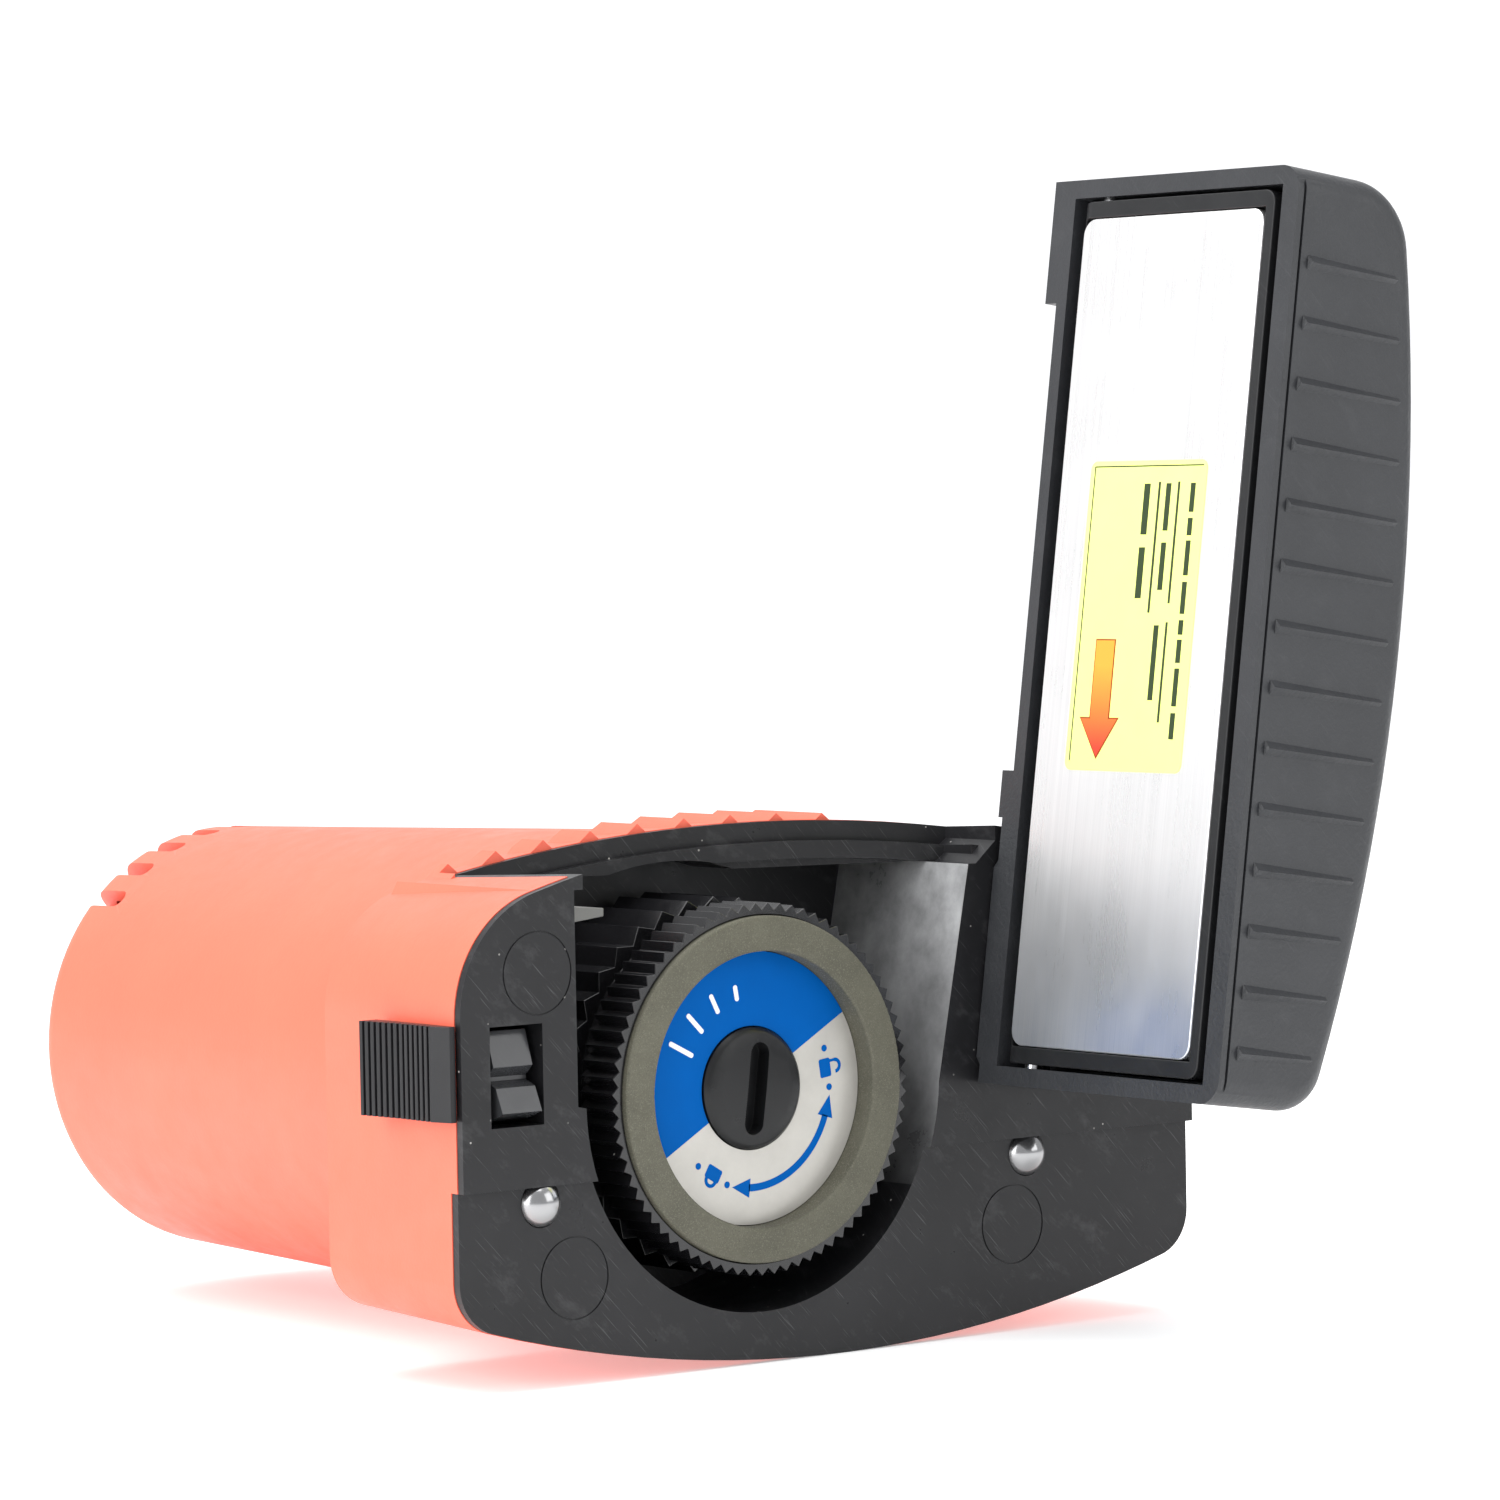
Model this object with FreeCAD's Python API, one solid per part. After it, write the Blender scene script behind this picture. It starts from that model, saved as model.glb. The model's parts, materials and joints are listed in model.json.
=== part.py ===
import FreeCAD, Part
import math
import os

from FreeCAD import Vector

# Hand-held electric tuner for the side edges of skis and snowboards.
# The tool lies on its side: the spindle axis runs along Y, the working face looks
# towards -Y, the motor barrel runs towards +Y, and the guide arm stands open,
# straight up, for changing the grinding ring.  Millimetres throughout.
# Shapes are modelled about the spindle axis at the working face (y = 0) and are
# moved together to the standing origin when they are written.

# ---------------------------------------------------------------- clearances
GAP = 0.3                  # between pieces that move past each other
FIT = 0.05                 # radial running fit
SEAT = 0.1                 # between pieces that are assembled and stay put

# ---------------------------------------------------------------- driving sizes
RING_DIA = 42.0            # grinding ring, outside
RING_WIDTH = 4.3           # across the ring's working face
RING_THICK = 4.6
RING_PROUD = 1.2           # ring stands in front of the working face

DRUM_RIM = 1.6             # drum outside the ring
RIM_BEHIND_RING = 0.8      # drum rim sits this far behind the ring's front
KNURL_DEPTH = 0.9
KNURL_TEETH = 75
KNURL_LENGTH = 6.5
NECK_STEP = 2.1            # neck below the knurl
NECK_LENGTH = 2.4
FLUTE_STEP = 0.4           # flutes above the knurl
FLUTE_DEPTH = 1.5
FLUTE_TEETH = 36
DRUM_BACK_GAP = 1.6        # drum to the floor of its cavity

HEAD_DEPTH = 28.5          # working face to the back wall of the head
HEAD_DRAFT = 1.2           # each wall leans in by this much at the back
HEAD_LEFT_BAY = 16.8       # cavity to the left wall, with the latch in it
HEAD_RIGHT_BAY = 36.5      # cavity to the right wall, with the hinge in it
HEAD_ROOF_RISE = 6.4       # crown of the roof above the cavity
HEAD_BELLY_DROP = 6.3      # belly below the cavity
ROOF_RADIUS = 170.0
BELLY_RADIUS = 190.0
CROWN_X = 12.0             # roof and belly are highest and lowest here
CORNER_TOP_LEFT = 15.0
CORNER_BOTTOM_LEFT = 6.5
CORNER_RIGHT = 6.0
SHELL_WALL = 2.2
BACK_WALL = 2.5

PAD_STEP = 1.25            # raised pads stand in front of the lower face
LEDGE_Z = -9.0             # ledge between the pads and the lower face
FLANGE = 3.0               # thickness of the face plate
FACE_EDGE = 1.3            # bare edge of the face plate in front of the shell

CAVITY_GAP = 4.0           # drum to the wall of its cavity
CAVITY_HEADROOM = 2.6      # drum to the lip above it
CAVITY_WALL = 2.0
CAVITY_LEFT_STEP = 1.2     # straight left side beyond the round of the cavity
CAVITY_RIGHT_STEP = 5.3    # right side beyond it, where it meets the roof

NOTCH_BACK = 2.3           # finger opening to the back of the head, at its left
NOTCH_RIGHT_STEP = 5.7     # finger opening beyond the cavity's right side
NOTCH_RIGHT_DEPTH = 9.6
COLLAR_WALL = 1.2
LIP_REACH = 3.2            # lip under the opening, measured from its edge
LIP_DROP = 2.6
LIP_HEIGHT = 2.2
ROOF_RIBS = 9
ROOF_RIB_PITCH = 6.05
ROOF_RIB_FIRST = 1.1       # first rib from the left end of the finger opening
ROOF_RIB_HEIGHT = 1.2
ROOF_RIB_WIDTH = 2.2
RIDGE_FROM_NOTCH = 5.2     # ridge beside the finger opening
RIDGE_HEIGHT = 3.2
RIDGE_HALF_WIDTH = 1.9

BARREL_LENGTH = 91.5       # back wall of the head to the rear end
BARREL_WALL = 2.2
BARREL_RIM = 4.0           # rounding of the rear rim
BARREL_OVER_MOTOR = 6.2    # barrel's rear radius beyond the motor
BARREL_WAIST_STEP = 0.6
BARREL_FRONT_STEP = 2.3
BARREL_WAIST_BACK = 28.0   # waist to the rear end
VENTS = 9
VENT_PITCH_DEG = 11.5
VENT_WIDTH = 2.6
VENT_LENGTH = 8.5

BALL_DIA = 6.0
BALL_PROUD = 2.0
BALL_BELOW_LEDGE = 2.1
BALL_FROM_LEFT = 12.0
BALL_FROM_RIGHT = 26.8

LABEL_RECESS = 3.0         # label behind the front of the ring
LABEL_THICK = 0.3
CAP_DIA = 14.8
CAP_PROUD = 1.35           # lock cap in front of the label
CAP_SLOT = 2.8
CAP_SLOT_LENGTH = 11.2
CAP_SLOT_TILT = 7.7        # degrees from upright
CAP_STEM_DIA = 6.0
CAP_OPEN_TURN = 75.0       # lock cap, from tight to where its lugs pass
LUG_SPAN = 13.0
LUG_WIDTH = 4.0
LUG_THICK = 1.4
CARRIER_FLANGE = 1.6       # carrier behind the ring
CARRIER_WEB = 1.4          # carrier under the lock cap

SHAFT_DIA = 8.0
SHAFT_BEHIND_CARRIER = 7.0
SHAFT_PAST_MOTOR = 8.0
BEARING_OD = 22.0
BEARING_WIDTH = 7.0
REAR_BEARING_OD = 19.0
REAR_BEARING_WIDTH = 6.0
MOTOR_DIA = 44.0
MOTOR_LENGTH = 52.0
MOTOR_BEHIND_HEAD = 8.5
CAN_WALL = 1.5
MAGNET_THICK = 3.2
AIR_GAP = 0.8
ROTOR_SLOTS = 7
COMMUTATOR_WALL = 3.0
FAN_BLADES = 8
FAN_DEPTH = 5.0
MOUNT_THICK = 4.2
MOUNT_SPIGOT_R = 14.0
MOUNT_SCREW_INSET = 3.0    # mounting screws inside the motor's edge
TIE_OUTSET = 2.0           # tie bolts outside the motor's edge
SMALL_SCREW_R = 1.3        # motor, cap and tie screws, at the thread
CAP_POST_INSET = 5.0       # end cap screws inside the rear mouth

PIN_DIA = 6.0
HINGE_Z = 10.58
OPEN_ANGLE = 98.1          # guide arm, from shut to fully open
HINGE_BOSS_R = 8.0
HINGE_BOSS_LENGTH = 31.5
HINGE_BOSS_FLOOR = 3.0
HINGE_TO_PLATE = 19.58     # hinge axis above the glide plate, arm shut
BUSH_WALL = 1.2

GUIDE_WIDTH = 44.5
GUIDE_TAIL = 14.93         # hinge axis to the pivot end of the arm
GUIDE_PAST_LATCH = 6.6     # free end beyond the latch
GUIDE_FREE_THICK = 18.6
GUIDE_MID_THICK = 24.8
GUIDE_TAIL_THICK = 16.7
GUIDE_FREE_ROUND = 9.0
GUIDE_TAIL_ROUND = 6.0
GUIDE_FRONT_ROUND = 3.2
GUIDE_WALL = 2.6
GUIDE_RIM_END = 2.3
GUIDE_RIM_FRONT = 2.8
GUIDE_RIM_BACK = 4.0
FOOT_PAST_LATCH = 8.7      # free foot on the hinge side of the latch
FOOT_TAIL = 38.8
FOOT_RELIEF = 2.1
GUIDE_RIB_PITCH = 7.27
GUIDE_RIB_FIRST = 6.4      # first rib from the pivot end
GUIDE_RIB_LAST = 5.0       # last rib is at least this far from the free end
GUIDE_RIB_START = 2.5      # from the plate side of the arm
GUIDE_RIB_SHORT = 4.0      # ribs stop this far from the back of the arm
GUIDE_RIB_WIDTH = 1.8
GUIDE_RIB_PROUD = 0.9
SEAM_Z = 0.9               # seam groove from the plate side of the arm
SEAM_WIDTH = 0.4
SEAM_DEPTH = 0.4

PLATE_FROM_END = 5.0       # glide plate inside each end of the arm
PLATE_FROM_FEET = 6.1
PLATE_FROM_FRONT = 5.7
PLATE_THICK = 1.5
PLATE_CORNER = 2.0
PLATE_EDGE = 0.2
HOLDER_DEPTH = 7.5
HOLDER_GAP = 0.5
HOLDER_FRONT_GAP = 1.2
HOLDER_WALL = 1.8
HOLDER_FLOOR = 2.0
HOLDER_CORNER = 1.8
HEEL_R = 3.0               # rounded rear edge that the holder tilts on
TILT_PIN_DIA = 2.4
TILT_PIN_IN_FRAME = 3.0
TILT_PIN_IN_RIM = 1.2

WHEEL_DIA = 14.0
WHEEL_THICK = 4.0
WHEEL_SUNK = 3.2           # wheel's inner face below the crown of the arm
WHEEL_FROM_MIDDLE = 18.0
WHEEL_OFF_CENTRE = 4.0
WHEEL_NOTCHES = 18
WHEEL_NOTCH_R = 0.7
WHEEL_STEM_DIA = 5.0

WINDOW_WIDTH = 7.6
WINDOW_HEIGHT = 11.9
WINDOW_FROM_LEFT = 8.0
WINDOW_Z = 4.3
BOLT_WIDTH = 5.7
BOLT_HEIGHT = 10.6
BOLT_BACK = 14.0
LATCH_TRAVEL = 4.0
LATCH_ENGAGEMENT = 1.0     # nose of the bolt past the feet of the arm
SLIDER_NECK_Y0 = 5.0
SLIDER_NECK_Y1 = 11.0
SLIDER_NECK_HALF = 2.4
SLIDER_HEIGHT = 11.2
SLIDER_LENGTH = 16.0
SLIDER_PROUD = 2.6
SLIDER_RIBS = 13
SLIDER_RIB_PITCH = 1.0
SPRING_DIA = 4.4
SPRING_WIRE = 0.5
SPRING_TURNS = 7

BOSS_RADIUS = 4.4
SCREW_DIA = 3.0
SCREW_THREAD_R = SCREW_DIA / 2 - 0.2
WITNESS_R = 5.0            # faint rings that the mould leaves over the bosses

SWITCH_FROM_END = 14.5
SWITCH_LENGTH = 13.0
SWITCH_HEIGHT = 10.0
SWITCH_WALL = 1.2
SWITCH_PIVOT_R = 1.0
ROCKER_TILT = 9.0          # either side of level

GLAND_BORE = 5.6
GLAND_DIA = 10.0
GLAND_LENGTH = 12.0

# ---------------------------------------------------------------- worked-out places
RING_BORE = RING_DIA - 2 * RING_WIDTH
RING_BACK = -RING_PROUD + RING_THICK
CARRIER_BACK = RING_BACK + CARRIER_FLANGE
LABEL_Y = -RING_PROUD + LABEL_RECESS
CAP_SEAT_Y = LABEL_Y + LABEL_THICK + CARRIER_WEB
DRUM_DIA = RING_DIA + 2 * DRUM_RIM
DRUM_FRONT = -RING_PROUD + RIM_BEHIND_RING
DRUM_NECK_R = DRUM_DIA / 2 - NECK_STEP
FLUTE_DIA = DRUM_DIA + 2 * FLUTE_STEP
FLUTE_START = DRUM_FRONT + KNURL_LENGTH + NECK_LENGTH

CAVITY_RADIUS = FLUTE_DIA / 2 + CAVITY_GAP
CAVITY_DEPTH = HEAD_DEPTH - BACK_WALL - CAVITY_WALL
CAVITY_LEFT = CAVITY_RADIUS + CAVITY_LEFT_STEP
CAVITY_RIGHT_TOP = CAVITY_RADIUS + CAVITY_RIGHT_STEP
CAVITY_ROOF_Z = FLUTE_DIA / 2 + CAVITY_HEADROOM
DRUM_END = CAVITY_DEPTH - DRUM_BACK_GAP
NOTCH_LEFT_DEPTH = HEAD_DEPTH - NOTCH_BACK
NOTCH_RIGHT_X = CAVITY_RIGHT_TOP + NOTCH_RIGHT_STEP
HEAD_LEFT = CAVITY_LEFT + HEAD_LEFT_BAY
HEAD_RIGHT = CAVITY_RIGHT_TOP + HEAD_RIGHT_BAY
HEAD_TOP = CAVITY_ROOF_Z + HEAD_ROOF_RISE
HEAD_BOTTOM = CAVITY_RADIUS + HEAD_BELLY_DROP

BALL_Y = BALL_DIA / 2 - BALL_PROUD
BALL_Z = LEDGE_Z - BALL_BELOW_LEDGE
BALL_LEFT_X = -HEAD_LEFT + BALL_FROM_LEFT
BALL_RIGHT_X = HEAD_RIGHT - BALL_FROM_RIGHT
WINDOW_X = -HEAD_LEFT + WINDOW_FROM_LEFT
LATCH_REACH = PAD_STEP + LATCH_ENGAGEMENT
BOSS_PLACES = (
    (-HEAD_LEFT + 11.2, HEAD_TOP - 15.8),
    (-HEAD_LEFT + 16.7, -HEAD_BOTTOM + 13.0),
    (HEAD_RIGHT - 29.3, -HEAD_BOTTOM + 13.5),
    (HEAD_RIGHT - 24.8, HEAD_TOP - 13.5),
)

BARREL_REAR_R = MOTOR_DIA / 2 + BARREL_OVER_MOTOR
BARREL_WAIST_R = BARREL_REAR_R + BARREL_WAIST_STEP
BARREL_FRONT_R = BARREL_REAR_R + BARREL_FRONT_STEP
BARREL_MOUTH_R = MOTOR_DIA / 2
BARREL_END = HEAD_DEPTH + BARREL_LENGTH
SWITCH_Y = BARREL_END - SWITCH_FROM_END
MOUNT_Y = HEAD_DEPTH + SEAT
MOTOR_START = HEAD_DEPTH + MOTOR_BEHIND_HEAD
MOTOR_END = MOTOR_START + MOTOR_LENGTH
CAN_BORE_R = MOTOR_DIA / 2 - CAN_WALL
ROTOR_R = CAN_BORE_R - MAGNET_THICK - AIR_GAP
COMMUTATOR_R = SHAFT_DIA / 2 + COMMUTATOR_WALL
SHAFT_START = CARRIER_BACK + SHAFT_BEHIND_CARRIER
SHAFT_END = MOTOR_END + SHAFT_PAST_MOTOR

HINGE_X = HEAD_RIGHT - GUIDE_TAIL
PLATE_Z = HINGE_Z - HINGE_TO_PLATE
TAIL_X = HINGE_X + GUIDE_TAIL
FREE_X = WINDOW_X - GUIDE_PAST_LATCH
GUIDE_LENGTH = TAIL_X - FREE_X
FEET_Y = -PAD_STEP - GAP
FRONT_Y = FEET_Y - GUIDE_WIDTH
BALL_SWEEP_R = math.hypot(BALL_RIGHT_X - HINGE_X, BALL_Z - HINGE_Z)
HINGE_BUSH_REACH = HINGE_BOSS_LENGTH - HINGE_BOSS_FLOOR
HINGE_PIN_REACH = -FEET_Y + HINGE_BUSH_REACH - 0.5
TILT_Y = FEET_Y - GUIDE_RIM_BACK - HOLDER_GAP - HEEL_R
TILT_Z = PLATE_Z + HEEL_R
WHEEL_X = FREE_X + GUIDE_LENGTH / 2 - WHEEL_FROM_MIDDLE
WHEEL_Y = FRONT_Y + GUIDE_WIDTH / 2 - WHEEL_OFF_CENTRE
WHEEL_Z = PLATE_Z + GUIDE_MID_THICK - WHEEL_SUNK


def around(radius, angles):
    """Points on a circle about the spindle, at angles in degrees."""
    return [(radius * math.cos(math.radians(a)), radius * math.sin(math.radians(a)))
            for a in angles]


MOUNT_SCREW_PLACES = around(MOTOR_DIA / 2 - MOUNT_SCREW_INSET, (45, 135, 225, 315))
TIE_PLACES = around(MOTOR_DIA / 2 + TIE_OUTSET, (0, 180))
CAP_POST_PLACES = around(BARREL_MOUTH_R - CAP_POST_INSET, (90, 210, 330))

X_AXIS = Vector(1, 0, 0)
Y_AXIS = Vector(0, 1, 0)
Z_AXIS = Vector(0, 0, 1)

pieces = {}
head_blocks = {}


def add(name, *solids):
    """Keep the solids of one named piece."""
    pieces.setdefault(name, []).extend(solids)


def rod(radius, y0, y1, x=0.0, z=0.0):
    """Round bar parallel to the spindle."""
    return Part.makeCylinder(radius, y1 - y0, Vector(x, y0, z), Y_AXIS)


def bar_x(radius, xa, xb, y, z):
    """Round bar along X between two ends given in either order."""
    return Part.makeCylinder(radius, abs(xb - xa), Vector(min(xa, xb), y, z), X_AXIS)


def bar_z(radius, z0, z1, x, y):
    """Upright round bar."""
    return Part.makeCylinder(radius, z1 - z0, Vector(x, y, z0), Z_AXIS)


def tube(outer, inner, y0, y1, x=0.0, z=0.0):
    """Round tube parallel to the spindle."""
    return rod(outer, y0, y1, x, z).cut(rod(inner, y0 - 1, y1 + 1, x, z))


def block(x0, x1, y0, y1, z0, z1):
    """Box between two corners."""
    return Part.makeBox(x1 - x0, y1 - y0, z1 - z0, Vector(x0, y0, z0))


def prism(points, axis, start, length):
    """Straight prism: points lie in the plane across the axis, at the start."""
    places = {
        "x": lambda p: Vector(start, p[0], p[1]),
        "y": lambda p: Vector(p[0], start, p[1]),
        "z": lambda p: Vector(p[0], p[1], start),
    }
    corners = [places[axis](p) for p in points]
    run = {"x": X_AXIS, "y": Y_AXIS, "z": Z_AXIS}[axis]
    face = Part.Face(Part.makePolygon(corners + corners[:1]))
    return face.extrude(run * length)


def spun(profile):
    """Solid of revolution about the spindle from (radius, y) points."""
    corners = [Vector(r, y, 0) for r, y in profile]
    face = Part.Face(Part.makePolygon(corners + corners[:1]))
    return face.revolve(Vector(0, 0, 0), Y_AXIS, 360)


def toothed(radius, depth, teeth, y0, y1):
    """Round bar with pointed teeth along it."""
    points = []
    for k in range(2 * teeth):
        reach = radius if k % 2 == 0 else radius - depth
        angle = math.pi * k / teeth
        points.append((reach * math.cos(angle), reach * math.sin(angle)))
    return prism(points, "y", y0, y1 - y0)


def edges_along_y(solid, test):
    """Edges that run roughly along Y and pass a test on their middle."""
    found = []
    for edge in solid.Edges:
        if len(edge.Vertexes) < 2:
            continue
        run = edge.Vertexes[1].Point - edge.Vertexes[0].Point
        if run.Length > 0 and abs(run.y) / run.Length > 0.95 and test(edge.CenterOfMass):
            found.append(edge)
    return found


# ---------------------------------------------------------------- head outline
def roof_z(x, inset=0.0):
    """Height of the roof at x."""
    radius = ROOF_RADIUS - inset
    return HEAD_TOP - ROOF_RADIUS + math.sqrt(radius ** 2 - (x - CROWN_X) ** 2)


def belly_z(x, inset=0.0):
    """Height of the belly at x."""
    radius = BELLY_RADIUS - inset
    return BELLY_RADIUS - HEAD_BOTTOM - math.sqrt(radius ** 2 - (x - CROWN_X) ** 2)


def outline(y, inset):
    """Closed outline of the head, without its rounded corners."""
    x0 = -HEAD_LEFT + inset
    x1 = HEAD_RIGHT - inset
    xm = (x0 + x1) / 2
    roof = Part.Arc(Vector(x0, y, roof_z(x0, inset)), Vector(xm, y, roof_z(xm, inset)),
                    Vector(x1, y, roof_z(x1, inset)))
    belly = Part.Arc(Vector(x1, y, belly_z(x1, inset)), Vector(xm, y, belly_z(xm, inset)),
                     Vector(x0, y, belly_z(x0, inset)))
    right = Part.LineSegment(roof.EndPoint, belly.StartPoint)
    left = Part.LineSegment(belly.EndPoint, roof.StartPoint)
    return Part.Wire([curve.toShape() for curve in (roof, right, belly, left)])


def head_solid(y0, y1, inset=0.0):
    """Slice of the head block between two depths, rounded at its four corners."""
    if inset not in head_blocks:
        lean = HEAD_DRAFT / HEAD_DEPTH
        ends = (-10.0, HEAD_DEPTH + 10.0)
        solid = Part.makeLoft([outline(y, inset + lean * y) for y in ends], True, True)
        middle = (HEAD_RIGHT - HEAD_LEFT) / 2
        corners = (
            (CORNER_TOP_LEFT, lambda c: c.x < middle and c.z > 0),
            (CORNER_BOTTOM_LEFT, lambda c: c.x < middle and c.z < 0),
            (CORNER_RIGHT, lambda c: c.x > middle),
        )
        for radius, test in corners:
            solid = solid.makeFillet(max(radius - inset, 0.6), edges_along_y(solid, test))
        head_blocks[inset] = solid
    return head_blocks[inset].common(block(-200, 200, y0, y1, -200, 200))


def notch(offset, z0, z1):
    """Plan of the finger opening in the roof, made smaller all round by offset."""
    left = -CAVITY_LEFT + offset
    right = NOTCH_RIGHT_X - offset
    points = [(left, -10), (left, NOTCH_LEFT_DEPTH - offset),
              (right, NOTCH_RIGHT_DEPTH - offset), (right, -10)]
    return prism(points, "z", z0, z1 - z0)


def notch_edge_y(x):
    """Depth of the sloping edge of the finger opening at x."""
    slope = (NOTCH_RIGHT_DEPTH - NOTCH_LEFT_DEPTH) / (NOTCH_RIGHT_X + CAVITY_LEFT)
    return NOTCH_LEFT_DEPTH + slope * (x + CAVITY_LEFT)


def cavity(grow, y0, y1):
    """Space that the drum turns in, made larger all round by grow."""
    left = -CAVITY_LEFT - grow
    top = CAVITY_ROOF_Z + grow
    right = CAVITY_RIGHT_TOP + grow
    flank = [(left, 0), (left, top), (right, top), (CAVITY_RADIUS + grow, -1.0), (0, -6)]
    return rod(CAVITY_RADIUS + grow, y0, y1).fuse(prism(flank, "y", y0, y1 - y0))


# ---------------------------------------------------------------- housing
def build_head_shell():
    """Orange head with its roof ribs, finger opening and back wall."""
    outer = head_solid(0.0, HEAD_DEPTH)
    outer = outer.cut(block(-200, 200, -5, FACE_EDGE, -200, LEDGE_Z))
    shell = outer.cut(head_solid(-5.0, HEAD_DEPTH - BACK_WALL, SHELL_WALL))
    for k in range(ROOF_RIBS):
        x = -CAVITY_LEFT + ROOF_RIB_FIRST + ROOF_RIB_PITCH * k
        y = notch_edge_y(x) - 3
        z = roof_z(x) - HEAD_DRAFT - 0.6
        half = ROOF_RIB_WIDTH
        peak = roof_z(x) + ROOF_RIB_HEIGHT - HEAD_DRAFT * 0.8
        rib = prism([(x - half, z), (x + half, z), (x, peak)], "y", y, HEAD_DEPTH - 0.6 - y)
        tail = prism([(HEAD_DEPTH - 2.0, peak + 1), (HEAD_DEPTH + 1, peak + 1),
                      (HEAD_DEPTH + 1, z - 1)], "x", x - 3, 6)
        shell = shell.fuse(rib.cut(tail))
    shell = shell.cut(notch(0.0, 14.0, 60.0))
    ridge_x = -CAVITY_LEFT - RIDGE_FROM_NOTCH
    ridge_z = roof_z(ridge_x) - RIDGE_HEIGHT
    ridge = prism([(ridge_x - RIDGE_HALF_WIDTH, ridge_z), (ridge_x + RIDGE_HALF_WIDTH, ridge_z),
                   (ridge_x, ridge_z + RIDGE_HEIGHT)], "y", 0.4, HEAD_DEPTH - 1.2)
    shell = shell.fuse(ridge.cut(head_solid(-5.0, HEAD_DEPTH - BACK_WALL, SHELL_WALL)))
    bolt_path = block(-HEAD_LEFT - 5, -HEAD_LEFT + SHELL_WALL + 3,
                      SLIDER_NECK_Y0 - GAP, SLIDER_NECK_Y1 + LATCH_TRAVEL + GAP,
                      WINDOW_Z - SLIDER_NECK_HALF - GAP, WINDOW_Z + SLIDER_NECK_HALF + GAP)
    shell = shell.cut(bolt_path)
    shell = shell.cut(rod(MOUNT_SPIGOT_R + SEAT, HEAD_DEPTH - BACK_WALL - 1, HEAD_DEPTH + 1))
    for x, z in BOSS_PLACES:
        shell = shell.cut(rod(SCREW_DIA / 2 + FIT, HEAD_DEPTH - 8, HEAD_DEPTH + 5, x, z))
        shell = shell.cut(rod(SCREW_DIA + FIT, HEAD_DEPTH - 0.9, HEAD_DEPTH + 5, x, z))
    for x, z in MOUNT_SCREW_PLACES:
        shell = shell.cut(rod(SMALL_SCREW_R + 0.2 + FIT, HEAD_DEPTH - 8, HEAD_DEPTH + 5, x, z))
    add("head_shell", shell.removeSplitter())


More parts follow.
